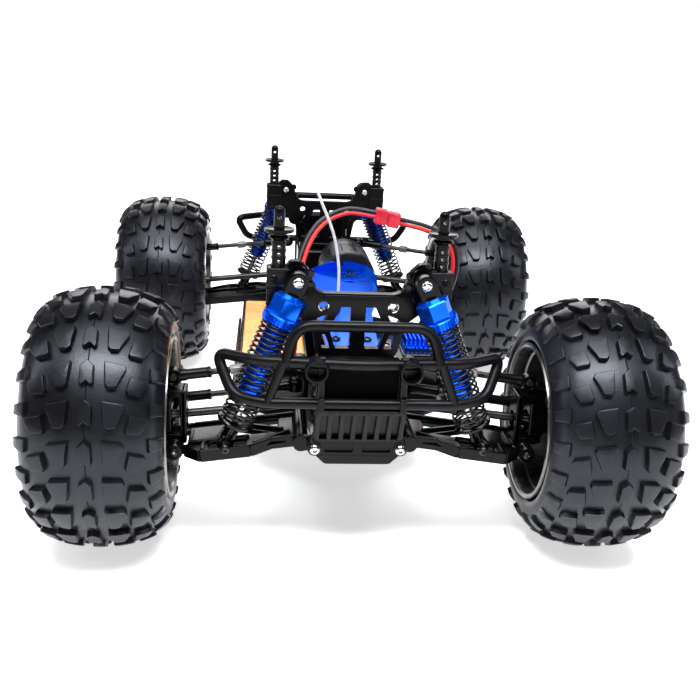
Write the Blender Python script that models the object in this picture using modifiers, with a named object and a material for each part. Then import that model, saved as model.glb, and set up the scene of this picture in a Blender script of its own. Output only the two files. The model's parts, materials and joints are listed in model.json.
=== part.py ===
"""A 1:10 four-wheel-drive monster truck chassis: wheels, suspension, steering, drive line and bumpers.

The truck stands on z = 0 with its nose towards -Y and its left side towards +X. Its origin is on the
ground, midway between the axles. Every size below is in millimetres; MM turns it into Blender's metres.
"""

import math

import bmesh
import bpy
from mathutils import Matrix, Vector

MM = 0.001
GAP = 0.4                     # clearance between neighbouring pieces

# ---- driving dimensions -------------------------------------------------------------------------------
WHEELBASE = 275.0
TRACK = 237.0                 # between the wheels' centre planes
TYRE_RADIUS = 62.5
TYRE_WIDTH = 65.0
RIM_RADIUS = 38.0
ROUND = 20                    # facets round a tyre or rim; a flat one faces the ground

AXLE = {"front": -WHEELBASE / 2, "rear": WHEELBASE / 2}
OUTWARD = {"front": -1, "rear": 1}            # the way from the middle of the truck towards that end
SIDES = {"left": 1, "right": -1}
CORNERS = [(end, side) for end in AXLE for side in SIDES]

# suspension, seen from the front: (distance from the centre line, height)
ARM_INNER = (26.0, 57.0)
ARM_REACH = {"front": (60.0, -8.0), "rear": (70.0, -8.0)}
LINK_INNER = {"front": (27.0, 91.0), "rear": (27.0, 95.0)}
SHAFT_INNER = (17.0, 71.0)
SHAFT_OUTER = (91.5, 62.8)
SHOCK_TOP = (29.3, 134.0)
SHOCK_FOOT = (61.4, 55.0)
SHOCK_OFFSET = 13.8                           # how far the shock stands outward of its axle
PIN_RADIUS = 1.5
BORE_RADIUS = PIN_RADIUS + 0.35
ARM_HALF_LENGTH = 16.1                        # half the arm's hinge barrel
ARM_THICKNESS = 6.0

# shock absorber, measured along its axis from the centre of its top eye
EYE_RADIUS = 4.8
CAP_START, CAP_END, CAP_RADIUS = 6.0, 17.0, 8.2
COLLAR_END, COLLAR_RADIUS = 21.0, 8.9
BODY_END, BODY_RADIUS = 58.0, 5.6
SPRING_RADIUS, WIRE_RADIUS, COILS = 7.8, 0.75, 9
CUP_START, CUP_END = 72.5, 75.0
ROD_RADIUS = 1.75

# steering
KINGPIN_X = 91.5
STEER_ARM = 20.0              # from the kingpin back to the tie rod's ball
TIE_INNER = (28.0, 78.0)
TIE_Y = AXLE["front"] + STEER_ARM
HORN_AXIS = Vector((20.0, -98.0, 86.0))
HORN_REACH = -(TIE_Y - HORN_AXIS.y)

# drive line
CENTRE_HEIGHT = 68.5
MODULE, SPUR_TEETH, PINION_TEETH = 0.8, 44, 16
GEAR_Y = (29.0, 35.0)
MOTOR_ANGLE = math.radians(60)
GEAR_DISTANCE = MODULE * (SPUR_TEETH + PINION_TEETH) / 2
MOTOR_XZ = (GEAR_DISTANCE * math.cos(MOTOR_ANGLE), CENTRE_HEIGHT + GEAR_DISTANCE * math.sin(MOTOR_ANGLE))

# chassis
PLATE_BOTTOM, PLATE_TOP = 45.0, 48.0
WALL_Y = (38.0, 42.0)
DECK_BOTTOM, DECK_TOP = 92.0, 95.0
AERIAL_XY = (-3.0, -56.0)
BOX_HALF_WIDTH, BOX_HALF_LENGTH, BOX_TOP = 20.0, 16.5, 91.5
TOWER_Y = {"front": AXLE["front"] + 0.5, "rear": AXLE["rear"] - 0.5}
TOWER_THICKNESS = 5.0
POST_X, POST_TOP, SOCKET_TOP = 38.3, 166.0, 138.0


# ---- scene and materials ------------------------------------------------------------------------------
def clear_scene():
    for obj in list(bpy.data.objects):
        bpy.data.objects.remove(obj)


def new_collection(name):
    collection = bpy.data.collections.new(name)
    bpy.context.scene.collection.children.link(collection)
    return collection


def new_material(name, colour, roughness, metallic):
    made = bpy.data.materials.new(name)
    made.use_nodes = True
    shader = made.node_tree.nodes["Principled BSDF"]
    shader.inputs["Base Color"].default_value = (*colour, 1)
    shader.inputs["Roughness"].default_value = roughness
    shader.inputs["Metallic"].default_value = metallic
    return made


clear_scene()
TRUCK = new_collection("monster_truck_chassis")
BLACK_PLASTIC = new_material("black_plastic", (0.018, 0.018, 0.020), 0.45, 0.0)
BLUE_ALUMINIUM = new_material("blue_aluminium", (0.01, 0.09, 0.75), 0.25, 1.0)
RUBBER = new_material("rubber", (0.022, 0.022, 0.025), 0.65, 0.0)
SILVER_PLASTIC = new_material("silver_plastic", (0.62, 0.63, 0.62), 0.3, 0.7)
STEEL = new_material("steel", (0.60, 0.58, 0.55), 0.25, 1.0)
BLACK_STEEL = new_material("black_steel", (0.03, 0.03, 0.035), 0.2, 1.0)
BATTERY_WRAP = new_material("battery_wrap", (0.95, 0.50, 0.12), 0.35, 0.0)


# ---- solids, all in millimetres -----------------------------------------------------------------------
def mesh_from(bm):
    bmesh.ops.recalc_face_normals(bm, faces=bm.faces)
    if bm.calc_volume(signed=True) < 0:
        bmesh.ops.reverse_faces(bm, faces=bm.faces)
    mesh = bpy.data.meshes.new("solid")
    bm.to_mesh(mesh)
    bm.free()
    return mesh


def frame(origin, x_axis=None, z_axis=None):
    """A placing matrix whose x axis (or z axis) points as asked."""
    if x_axis is not None:
        turn = Vector(x_axis).to_track_quat("X", "Z")
    else:
        turn = Vector(z_axis or (0, 0, 1)).to_track_quat("Z", "Y")
    return Matrix.Translation(Vector(origin)) @ turn.to_matrix().to_4x4()


def block(low, high, bevel=0.0):
    """A box between two corners, with its edges chamfered by bevel."""
    low, high = Vector(low), Vector(high)
    bm = bmesh.new()
    bmesh.ops.create_cube(bm, size=1.0)
    bmesh.ops.scale(bm, vec=high - low, verts=bm.verts)
    bmesh.ops.translate(bm, vec=(low + high) / 2, verts=bm.verts)
    if bevel:
        bmesh.ops.bevel(bm, geom=bm.edges, offset=bevel, segments=1, affect="EDGES")
    return mesh_from(bm)


def rod(start, end, radius, end_radius=None, sides=12):
    """A cylinder or cone from start to end."""
    start, end = Vector(start), Vector(end)
    bm = bmesh.new()
    bmesh.ops.create_cone(
        bm, cap_ends=True, segments=sides, radius1=radius,
        radius2=radius if end_radius is None else end_radius, depth=(end - start).length,
    )
    bm.transform(frame((start + end) / 2, z_axis=end - start))
    return mesh_from(bm)


def ball(centre, radius):
    bm = bmesh.new()
    bmesh.ops.create_uvsphere(bm, u_segments=8, v_segments=6, radius=radius)
    bm.transform(Matrix.Translation(Vector(centre)))
    return mesh_from(bm)


def evaluated_mesh(obj):
    """The object's mesh with its modifiers, where it stands, its loose caps welded. obj is removed."""
    bpy.context.view_layer.update()
    graph = bpy.context.evaluated_depsgraph_get()
    mesh = bpy.data.meshes.new_from_object(obj.evaluated_get(graph))
    mesh.transform(obj.matrix_world)
    bpy.data.objects.remove(obj)
    bm = bmesh.new()
    bm.from_mesh(mesh)
    bmesh.ops.remove_doubles(bm, verts=bm.verts, dist=0.001)
    return mesh_from(bm)


def turned(profile, matrix, steps=16, closed=False):
    """A profile of (along, radius) points spun about the matrix's x axis. A closed profile makes a ring."""
    mesh = bpy.data.meshes.new("profile")
    edges = [(i, i + 1) for i in range(len(profile) - 1)]
    if closed:
        edges.append((len(profile) - 1, 0))
    half_step = math.pi / steps
    points = [(x, r * math.sin(half_step), r * math.cos(half_step)) for x, r in profile]
    mesh.from_pydata(points, edges, [])
    obj = bpy.data.objects.new("turned", mesh)
    TRUCK.objects.link(obj)
    screw = obj.modifiers.new("Screw", "SCREW")
    screw.axis = "X"
    screw.steps = screw.render_steps = steps
    screw.use_merge_vertices = True
    screw.merge_threshold = 0.0001
    obj.matrix_world = matrix
    return evaluated_mesh(obj)


def tube(points, radius, resolution=1, cyclic=False):
    """A round bar or wire along points."""
    curve = bpy.data.curves.new("curve", "CURVE")
    curve.dimensions = "3D"
    curve.bevel_depth = radius
    curve.bevel_resolution = resolution
    curve.use_fill_caps = True
    curve.twist_mode = "MINIMUM"
    spline = curve.splines.new("POLY")
    spline.points.add(len(points) - 1)
    for point, place in zip(spline.points, points):
        point.co = (*place, 1)
    spline.use_cyclic_u = cyclic
    obj = bpy.data.objects.new("tube", curve)
    TRUCK.objects.link(obj)
    return evaluated_mesh(obj)


def prism(outline, thickness, matrix):
    """A flat outline drawn in the matrix's x-y plane and thickened to both sides."""
    bm = bmesh.new()
    face = bm.faces.new([bm.verts.new((x, y, -thickness / 2)) for x, y in outline])
    grown = bmesh.ops.extrude_face_region(bm, geom=[face])
    raised = [item for item in grown["geom"] if isinstance(item, bmesh.types.BMVert)]
    bmesh.ops.translate(bm, vec=(0, 0, thickness), verts=raised)
    bm.transform(matrix)
    return mesh_from(bm)


def combined(first, operation, others):
    """The first solid joined with, or cut by, the others."""
    obj = bpy.data.objects.new("combined", first)
    TRUCK.objects.link(obj)
    helpers = []
    for mesh in others:
        helper = bpy.data.objects.new("operand", mesh)
        TRUCK.objects.link(helper)
        helpers.append(helper)
        boolean = obj.modifiers.new(operation, "BOOLEAN")
        boolean.operation = operation
        boolean.solver = "EXACT"
        boolean.object = helper
    result = evaluated_mesh(obj)
    for helper in helpers:
        bpy.data.objects.remove(helper)
    return result


def plate(outline, thickness, matrix, holes=()):
    """A flat plate with holes through it."""
    return combined(prism(outline, thickness, matrix), "DIFFERENCE",
                    [prism(hole, thickness + 2, matrix) for hole in holes])


def circle(x, y, radius, sides=10):
    angles = [2 * math.pi * i / sides for i in range(sides)]
    return [(x + radius * math.cos(a), y + radius * math.sin(a)) for a in angles]


def mirrored(outline):
    """A half outline (x >= 0, from the centre line out and back) completed on the other side."""
    return outline + [(-x, y) for x, y in reversed(outline) if x > 0]


def rounded_path(corners, radius, steps=3, cyclic=False):
    """The corners of a bent tube, each rounded by an arc of about that radius."""
    corners = [Vector(c) for c in corners]
    count = len(corners)
    path = []
    for i, corner in enumerate(corners):
        if not cyclic and i in (0, count - 1):
            path.append(corner)
            continue
        back = (corners[i - 1] - corner)
        ahead = (corners[(i + 1) % count] - corner)
        reach = min(radius, back.length * 0.45, ahead.length * 0.45)
        start = corner + back.normalized() * reach
        end = corner + ahead.normalized() * reach
        for k in range(steps + 1):
            t = k / steps
            path.append(start * (1 - t) ** 2 + corner * 2 * t * (1 - t) + end * t ** 2)
    return path


def smooth_path(points, steps=4):
    """A Catmull-Rom curve through the points."""
    points = [Vector(p) for p in points]
    padded = [2 * points[0] - points[1], *points, 2 * points[-1] - points[-2]]
    path = []
    for a, b, c, d in zip(padded, padded[1:], padded[2:], padded[3:]):
        for k in range(steps):
            t = k / steps
            square = (2 * a - 5 * b + 4 * c - d) * t ** 2
            cube = (3 * b - a - 3 * c + d) * t ** 3
            path.append(0.5 * (2 * b + (c - a) * t + square + cube))
    path.append(points[-1])
    return path


XZ_PLANE = Matrix(((1, 0, 0, 0), (0, 0, -1, 0), (0, 1, 0, 0), (0, 0, 0, 1)))


def body_frame(name, pivot):
    """An empty on a moving body's joint axis; the body's pieces hang from it."""
    empty = bpy.data.objects.new(name, None)
    TRUCK.objects.link(empty)
    empty.location = Vector(pivot) * MM
    return empty


def piece(name, material, solids, cuts=(), carrier=None):
    """Joins solids into one, cuts holes, and hangs the result from its carrier with its origin there."""
    mesh = combined(combined(solids[0], "UNION", solids[1:]), "DIFFERENCE", cuts)
    mesh.name = name
    mesh.materials.clear()
    mesh.materials.append(material)
    mesh.transform(Matrix.Scale(MM, 4))
    obj = bpy.data.objects.new(name, mesh)
    TRUCK.objects.link(obj)
    if carrier is not None:
        mesh.transform(Matrix.Translation(-carrier.location))
        obj.parent = carrier
    mesh.shade_smooth()
    mesh.set_sharp_from_angle(angle=math.radians(35))
    return obj


# ---- chassis, deck and gearboxes ----------------------------------------------------------------------
def chassis_plate():
    """The frame: main plate with rolled edges, upper deck, and the wall for motor and centre shaft."""
    half = [(0, -140), (18, -140), (22, -108), (60, -78), (62, 70), (40, 96), (20, 112), (20, 150), (0, 150)]
    holes = [circle(side * 52, y, 2) for side in (-1, 1) for y in (-60, 52)]
    middle = Matrix.Translation((0, 0, (PLATE_BOTTOM + PLATE_TOP) / 2))
    solids = [plate(mirrored(half), PLATE_TOP - PLATE_BOTTOM, middle, holes)]
    for side in (-1, 1):
        edges = sorted((side * 59.4, side * 61.6))
        solids.append(block((edges[0], -72, PLATE_TOP - 1), (edges[1], 66, PLATE_TOP + 6)))
    deck = [(-13, -126), (13, -126), (16, -60), (24, -20), (26, 16), (18, 41), (-14, 41), (-15, -60)]
    deck_holes = [circle(x, y, 2) for x in (-8, 8) for y in (-112, -66)]
    deck_holes += [circle(10, 12, 3), circle(*AERIAL_XY, 2)]
    deck_middle = Matrix.Translation((0, 0, (DECK_BOTTOM + DECK_TOP) / 2))
    solids.append(plate(deck, DECK_TOP - DECK_BOTTOM, deck_middle, deck_holes))
    wall = [(-17, PLATE_TOP - 1), (24, PLATE_TOP - 1), (32, 80), (30, 93), (24, 99), (14, 101.5),
            (-2, 101.5), (-17, 94)]
    front, back = WALL_Y
    solids.append(prism(wall, back - front, Matrix.Translation((0, (front + back) / 2, 0)) @ XZ_PLANE))
    x, z = MOTOR_XZ
    cuts = [rod((0, front - 1, CENTRE_HEIGHT), (0, back + 1, CENTRE_HEIGHT), 4),
            rod((x, front - 1, z), (x, back + 1, z), 6.5),
            block((x - 8.5, GEAR_Y[0] - 2.5, z), (x + 8.5, front - 0.3, DECK_TOP + 2))]
    piece("chassis_plate", BLUE_ALUMINIUM, solids, cuts)


def radio_receiver():
    """The receiver, hung under the upper deck, with its whip aerial up through a hole in the deck."""
    x, y = AERIAL_XY
    whip = smooth_path([(x, y, 88), (x, y, 104), (x - 0.5, y - 1, 120), (x - 4, y - 2, 138),
                        (x - 11, y - 3, 155), (x - 14, y - 3, 162)], 3)
    case = block((-12, y - 2.5, 77), (10, y + 34, DECK_BOTTOM - GAP), bevel=1.5)
    piece("radio_receiver", BLACK_PLASTIC, [case, tube(whip, 1.1, resolution=0)])


def gearbox(end):
    """The bulkhead round a differential, with the pins that the lower arms swing on."""
    axle = AXLE[end]
    half = BOX_HALF_LENGTH
    solids = [block((-BOX_HALF_WIDTH, axle - half, PLATE_TOP + GAP),
                    (BOX_HALF_WIDTH, axle + half, BOX_TOP), bevel=2.5)]
    for side in (-1, 1):
        x, z = side * ARM_INNER[0], ARM_INNER[1]
        reach = ARM_HALF_LENGTH + 3.4
        solids.append(rod((x, axle - reach, z), (x, axle + reach, z), PIN_RADIUS, sides=8))
        edges = sorted((side * 15, side * (ARM_INNER[0] + 3.4)))
        for low, high in ((-reach - 0.5, -ARM_HALF_LENGTH - GAP), (ARM_HALF_LENGTH + GAP, reach + 0.5)):
            solids.append(block((edges[0], axle + low, z - 4), (edges[1], axle + high, z + 4)))
    bores = [rod((side * 13, axle, SHAFT_INNER[1]), (side * 22, axle, SHAFT_INNER[1]), 6.2)
             for side in (-1, 1)]
    entry = axle - OUTWARD[end] * half
    bores.append(rod((0, entry - 8, CENTRE_HEIGHT), (0, entry + 8, CENTRE_HEIGHT), 5, sides=10))
    piece(f"{end}_gearbox", BLACK_PLASTIC, solids, bores)


TOWER_WINDOWS = [
    [(3.6, 99), (3.6, 119.5), (8.2, 119.5), (13.4, 108.5), (10.6, 99)],
    [(14.2, 115.8), (20.2, 113.6), (17.9, 108.8)],
    [(12.8, 99), (15.6, 106), (17.2, 106), (17.2, 99)],
]


def shock_tower(end):
    """The upright plate on a gearbox that carries the shocks' top ends and the body posts' sockets."""
    y = TOWER_Y[end]
    half = [(0, 126), (17, 126), (20.5, 127.5), (24, 137), (28, 141), (33, 141), (36, 137), (43.5, 137),
            (43.5, 120.5), (30, 117), (22.5, 111), (20, 98), (17, BOX_TOP + 1), (0, BOX_TOP + 1)]
    windows = []
    for side in (-1, 1):
        for window in TOWER_WINDOWS:
            windows.append([(side * x, z) for x, z in window])
        windows.append(circle(side * 16.6, 119.8, 2))
    placing = Matrix.Translation((0, y, 0)) @ XZ_PLANE
    solids = [plate(mirrored(half), TOWER_THICKNESS, placing, windows),
              block((-18, y - 8, BOX_TOP + GAP), (18, y + 8, BOX_TOP + 4))]
    bores = []
    way = OUTWARD[end]
    boss_end = AXLE[end] + way * (SHOCK_OFFSET - 3.6)
    stud_end = AXLE[end] + way * (SHOCK_OFFSET + 4.6)
    for side in (-1, 1):
        x = side * POST_X
        solids.append(block((x - 5.6, y - 5, 119), (x + 5.6, y + 5, SOCKET_TOP), bevel=0.8))
        x, z = side * SHOCK_TOP[0], SHOCK_TOP[1]
        solids.append(rod((x, y, z), (x, stud_end, z), PIN_RADIUS, sides=8))
        solids.append(rod((x, y, z), (x, boss_end, z), 3.4))
        bores.append(rod((side * POST_X, y, 122), (side * POST_X, y, SOCKET_TOP + 2), 4.0))
    piece(f"{end}_shock_tower", BLACK_PLASTIC, solids, bores)


def body_post(end, side):
    """A post with a resting disc and clip holes, which the body shell drops over."""
    x, y = SIDES[side] * POST_X, TOWER_Y[end]
    disc = 155.0
    profile = [(122.5, 0), (122.5, 3.6), (disc - 4, 3.6), (disc - 3.4, 5.2), (disc - 2.4, 5.2), (disc - 1.0, 7.0),
               (disc + 1.0, 7.0), (disc + 1.0, 2.7), (POST_TOP - 1.5, 2.7), (POST_TOP, 1.2), (POST_TOP, 0)]
    upright = frame((x, y, 0), x_axis=(0, 0, 1))
    holes = [rod((x, y - 9, z), (x, y + 9, z), 0.9, sides=6) for z in (140.4, 143.8, 147.2, 161)]
    piece(f"body_post_{end}_{side}", BLACK_PLASTIC, [turned(profile, upright, steps=10)], holes)


# ---- bumpers ------------------------------------------------------------------------------------------
def bumper(end):
    """A moulded tubular bumper: a side-to-side loop, a hoop over it, struts, lamp cups and a ribbed guard."""
    way = OUTWARD[end]
    rise = 0.0 if end == "front" else 6.0
    radius = 2.6

    def at(x, ahead, z):
        return (x, way * ahead, z + rise)

    loop = [at(-66, 157, 102), at(-48, 170, 102.5), at(0, 176, 103), at(48, 170, 102.5), at(66, 157, 102),
            at(58, 168, 85), at(44, 174, 84), at(-44, 174, 84), at(-58, 168, 85)]
    hoop = [at(-35, 172.5, 101), at(-30.5, 170, 119), at(30.5, 170, 119), at(35, 172.5, 101)]
    solids = [tube(rounded_path(loop, 7, 2, cyclic=True), radius, cyclic=True),
              tube(rounded_path(hoop, 9), radius)]
    for side in (-1, 1):
        solids.append(rod(at(side * 35.5, 173, 103), at(side * 42.5, 174, 84), 2.2, sides=8))
        solids.append(rod(at(side * 21, 179.5, 100.5), at(side * 21, 171.5, 100.5), 5.4, sides=12))
        low = at(side * 18.5 - 2, 174.5, 80)
        high = at(side * 18.5 + 2, 170.5, 105)
        solids.append(block(Vector(map(min, low, high)), Vector(map(max, low, high))))
    back_low, back_high = at(-17, 166, 82), at(17, 172, 104)
    solids.append(block(Vector(map(min, back_low, back_high)), Vector(map(max, back_low, back_high))))
    guard = [(160, 63), (167, 61.5), (176, 80), (170, 84)]
    sideways = Matrix(((0, 0, 1, 0), (way, 0, 0, 0), (0, 1, 0, rise), (0, 0, 0, 1)))
    solids.append(plate(guard, 41, sideways))
    skid_low, skid_high = at(-21.5, 158.3, 50.8), at(21.5, 167, 64)
    solids.append(block(Vector(map(min, skid_low, skid_high)), Vector(map(max, skid_low, skid_high)), bevel=1.5))
    cups = [rod(at(side * 21, 182, 100.5), at(side * 21, 174.9, 100.5), 4.2, sides=12) for side in (-1, 1)]
    piece(f"{end}_bumper", BLACK_PLASTIC, solids, cups)


# ---- suspension corner --------------------------------------------------------------------------------
def arm_length(end):
    return math.hypot(*ARM_REACH[end])


def lower_arm(end, side, carrier):
    """A trussed A-arm: hinge barrel inside, fork outside, a pocket for the shock's foot."""
    sign, axle, length = SIDES[side], AXLE[end], arm_length(end)
    half = ARM_HALF_LENGTH
    shock_u = math.hypot(SHOCK_FOOT[0] - ARM_INNER[0], ARM_INNER[1] - SHOCK_FOOT[1])
    front, back = SHOCK_OFFSET + 4.8, SHOCK_OFFSET - 4.8
    fork_in, fork_out = 8.3, 13.5
    edge = half - 0.3
    outline = [(0, edge), (14, edge), (24, front + 3.5), (shock_u + 12, front + 3.5), (length - 5, fork_out),
               (length + 4, fork_out), (length + 4, fork_in), (length - 6.5, fork_in), (length - 6.5, -fork_in),
               (length + 4, -fork_in), (length + 4, -fork_out), (length - 8, -edge), (0, -edge)]
    windows = [
        [(shock_u - 10, front), (shock_u + 9, front), (shock_u + 9, back), (shock_u - 10, back)],
        [(7, front - 3), (shock_u - 13, front - 1.5), (7, back - 2)],
        [(10, 4 - half), (shock_u - 4, 4 - half), (10, back - 7)],
        [(14, back - 4), (shock_u + 6, back - 3.5), (shock_u + 2, 6 - half)],
    ]
    direction = Vector((sign * ARM_REACH[end][0], 0, ARM_REACH[end][1])).normalized()
    outward = Vector((0, OUTWARD[end], 0))
    pivot = Vector((sign * ARM_INNER[0], axle, ARM_INNER[1]))
    axes = Matrix((direction, outward, direction.cross(outward))).transposed()
    placing = Matrix.Translation(pivot) @ axes.to_4x4()
    outer = pivot + direction * length
    solids = [plate(outline, ARM_THICKNESS, placing, windows),
              rod(pivot - outward * half, pivot + outward * half, 3.8)]
    for low, high in ((-fork_out - 0.3, 0.1 - fork_in), (fork_in - 0.1, fork_out + 0.3)):
        solids.append(rod(outer + outward * low, outer + outward * high, 4.2))
    bores = [rod(pivot - outward * 30, pivot + outward * 30, BORE_RADIUS, sides=8),
             rod(outer - outward * 30, outer + outward * 30, BORE_RADIUS, sides=8)]
    piece(f"lower_arm_{end}_{side}", BLACK_PLASTIC, solids, bores, carrier)


def outer_pin(end, side):
    """Centre of the hinge between a lower arm and its hub carrier."""
    x = SIDES[side] * (ARM_INNER[0] + ARM_REACH[end][0])
    return Vector((x, AXLE[end], ARM_INNER[1] + ARM_REACH[end][1]))


def link_ends(end, side):
    inner = Vector((SIDES[side] * LINK_INNER[end][0], AXLE[end], LINK_INNER[end][1]))
    return inner, inner + Vector((SIDES[side] * ARM_REACH[end][0], 0, ARM_REACH[end][1]))


def rod_link(name, inner, outer, eye_axis, carrier):
    """A turnbuckle with a plastic rod end on each end."""
    along = (outer - inner).normalized()
    solids = [rod(inner, outer, ROD_RADIUS, sides=8)]
    for end, way in ((inner, along), (outer, -along)):
        solids.append(rod(end + way * 2, end + way * 18, 3.0, sides=8))
        solids.append(rod(end - eye_axis * 3, end + eye_axis * 3, 4.0, sides=12))
    piece(name, BLACK_PLASTIC, solids, carrier=carrier)


def hub_carrier(side, carrier):
    """The front C-shaped carrier: hinged on the lower arm, it holds the steering knuckle top and bottom."""
    sign, axle = SIDES[side], AXLE["front"]
    pin = outer_pin("front", side)
    across = Vector((0, 1, 0))

    def slab(x0, x1, half_y, z0, z1):
        edges = sorted((sign * x0, sign * x1))
        return block((edges[0], axle - half_y, z0), (edges[1], axle + half_y, z1))

    solids = [slab(80.5, 83.4, 6.2, 50.5, 77.5), slab(80.5, 96, 6, 51.5, 55.2), slab(80.5, 96, 6, 73.8, 77.5),
              rod(pin - across * 7.9, pin + across * 7.9, 4.2, sides=12),
              rod(pin - across * 14.2, pin + across * 14.2, PIN_RADIUS, sides=8)]
    cuts = [rod((sign * 79, axle, 62.6), (sign * 86, axle, 62.6), 5.0),
            rod((sign * KINGPIN_X, axle, 40), (sign * KINGPIN_X, axle, 90), BORE_RADIUS, sides=8)]
    piece(f"hub_carrier_front_{side}", BLACK_PLASTIC, solids, cuts, carrier)


def bearing_bores(sign, axle):
    """Room in a knuckle or upright for the axle and its drive cup."""
    height = TYRE_RADIUS
    return [rod((sign * 84, axle, height), (sign * 98, axle, height), 5.7, sides=12),
            rod((sign * 95, axle, height), (sign * 110, axle, height), 2.95, sides=12)]


def steering_knuckle(side, carrier):
    sign, axle = SIDES[side], AXLE["front"]
    edges = sorted((sign * 87.5, sign * 95.5))
    ball_x = sign * (KINGPIN_X - 3.0)
    arm_edges = sorted((ball_x - sign * 2, ball_x + sign * 4))
    solids = [block((edges[0], axle - 6, 55.8), (edges[1], axle + 6, 73.2)),
              rod((sign * 90, axle, TYRE_RADIUS), (sign * 105, axle, TYRE_RADIUS), 6.6),
              rod((sign * KINGPIN_X, axle, 52), (sign * KINGPIN_X, axle, 77), PIN_RADIUS, sides=8),
              block((arm_edges[0], axle + 4, 57.6), (arm_edges[1], axle + STEER_ARM + 3.5, 62.2))]
    piece(f"steering_knuckle_{side}", BLACK_PLASTIC, solids, bearing_bores(sign, axle), carrier)


def rear_upright(side, carrier):
    sign, axle = SIDES[side], AXLE["rear"]
    pin = outer_pin("rear", side)
    across = Vector((0, 1, 0))
    edges = sorted((sign * 91, sign * 101))
    solids = [block((edges[0], axle - 7.5, 50), (edges[1], axle + 7.5, 82)),
              rod((sign * 89, axle, TYRE_RADIUS), (sign * 105, axle, TYRE_RADIUS), 9.2, sides=16),
              rod(pin - across * 7.9, pin + across * 7.9, 4.2, sides=12),
              rod(pin - across * 14.2, pin + across * 14.2, PIN_RADIUS, sides=8)]
    piece(f"upright_rear_{side}", BLACK_PLASTIC, solids, bearing_bores(sign, axle), carrier)


def drive_shaft(end, side, carrier):
    """A dogbone: a thin shaft with a ball on each end."""
    sign, axle = SIDES[side], AXLE[end]
    inner = Vector((sign * SHAFT_INNER[0], axle, SHAFT_INNER[1]))
    outer = Vector((sign * SHAFT_OUTER[0], axle, SHAFT_OUTER[1]))
    piece(f"drive_shaft_{end}_{side}", BLACK_STEEL,
          [rod(inner, outer, 2.2, sides=8), ball(inner, 3.2), ball(outer, 3.2)], carrier=carrier)


def wheel(end, side, carrier):
    """Rim with its stub axle and drive cup, and the tyre on it."""
    sign = SIDES[side]
    hub = Vector((sign * TRACK / 2, AXLE[end], TYRE_RADIUS))
    placing = frame(hub, x_axis=(sign, 0, 0))
    r = RIM_RADIUS
    half = TYRE_WIDTH / 2
    wall, dish = r - 2.5, (22, 29)
    rim = [(-23, 0), (-23, 3.9), (-28, 3.9), (-28, 5.2), (-21.5, 5.2), (-21.5, 2.5), (-13, 2.5), (-13, 7.5),
           (dish[0], 7.5), (dish[0], wall),
           (1 - half, wall), (1 - half, r + 0.5), (half - 1, r + 0.5), (half - 1, wall),
           (dish[1], wall), (dish[1], 0)]
    piece(f"wheel_rim_{end}_{side}", SILVER_PLASTIC, [turned(rim, placing, ROUND)], carrier=carrier)
    outer = TYRE_RADIUS / math.cos(math.pi / ROUND)
    half_tyre = [(half - 4.5, r + 1.5), (half, outer - 16), (half - 3, outer - 4), (18, outer)]
    ring = half_tyre + [(-a, b) for a, b in reversed(half_tyre)]
    # the ring runs out over the tread from bead to bead; its foam insert fills it down to the rim
    piece(f"tyre_{end}_{side}", RUBBER, [turned(ring, placing, ROUND, closed=True)], carrier=carrier)


def shock_line(end, side):
    y = AXLE[end] + OUTWARD[end] * SHOCK_OFFSET
    top = Vector((SIDES[side] * SHOCK_TOP[0], y, SHOCK_TOP[1]))
    foot = Vector((SIDES[side] * SHOCK_FOOT[0], y, SHOCK_FOOT[1]))
    return top, foot


def shock_body(end, side, carrier):
    """Eye, hexagonal cap, knurled collar and oil cylinder, bored out for the shaft."""
    top, foot = shock_line(end, side)
    along = (foot - top).normalized()
    across = Vector((0, 1, 0))
    turned_part = [(CAP_END - 1, 0), (CAP_END - 1, 8.0), (CAP_END + 0.2, COLLAR_RADIUS),
                   (COLLAR_END, COLLAR_RADIUS),
                   (COLLAR_END, BODY_RADIUS), (BODY_END, BODY_RADIUS), (BODY_END, 0)]
    solids = [turned(turned_part, frame(top, x_axis=along), steps=12),
              rod(top + along * CAP_START, top + along * CAP_END, CAP_RADIUS, sides=6),
              rod(top - across * 3.2, top + across * 3.2, EYE_RADIUS),
              rod(top + along * 2, top + along * (CAP_START + 1), 3.1, sides=12)]
    cuts = [rod(top - across * 8, top + across * 8, BORE_RADIUS, sides=8),
            rod(top + along * 14, top + along * (BODY_END + 5), ROD_RADIUS + 0.5, sides=8)]
    piece(f"shock_body_{end}_{side}", BLUE_ALUMINIUM, solids, cuts, carrier)


def shock_shaft(end, side, carrier):
    """Piston rod with the spring cup and the rod end at its foot."""
    top, foot = shock_line(end, side)
    along = (foot - top).normalized()
    across = Vector((0, 1, 0))
    solids = [rod(top + along * 40, foot, ROD_RADIUS, sides=8),
              rod(top + along * CUP_START, top + along * CUP_END, 8.8),
              rod(top + along * (CUP_END - 1), foot - along * 2, 3.4, sides=8),
              rod(foot - across * 3.2, foot + across * 3.2, 4.2, sides=12)]
    piece(f"shock_shaft_{end}_{side}", STEEL, solids, carrier=carrier)


def shock_spring(end, side, carrier):
    top, foot = shock_line(end, side)
    placing = frame(top, x_axis=foot - top)
    start, stop = COLLAR_END + WIRE_RADIUS + 0.3, CUP_START - WIRE_RADIUS - 0.3
    per_turn = 7
    count = COILS * per_turn
    helix = []
    for i in range(count + 1):
        angle = 2 * math.pi * i / per_turn
        along = start + (stop - start) * i / count
        sideways, upward = SPRING_RADIUS * math.cos(angle), SPRING_RADIUS * math.sin(angle)
        helix.append(placing @ Vector((along, sideways, upward)))
    coil = tube(helix, WIRE_RADIUS, resolution=0)
    piece(f"shock_spring_{end}_{side}", BLACK_STEEL, [coil], carrier=carrier)


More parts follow.
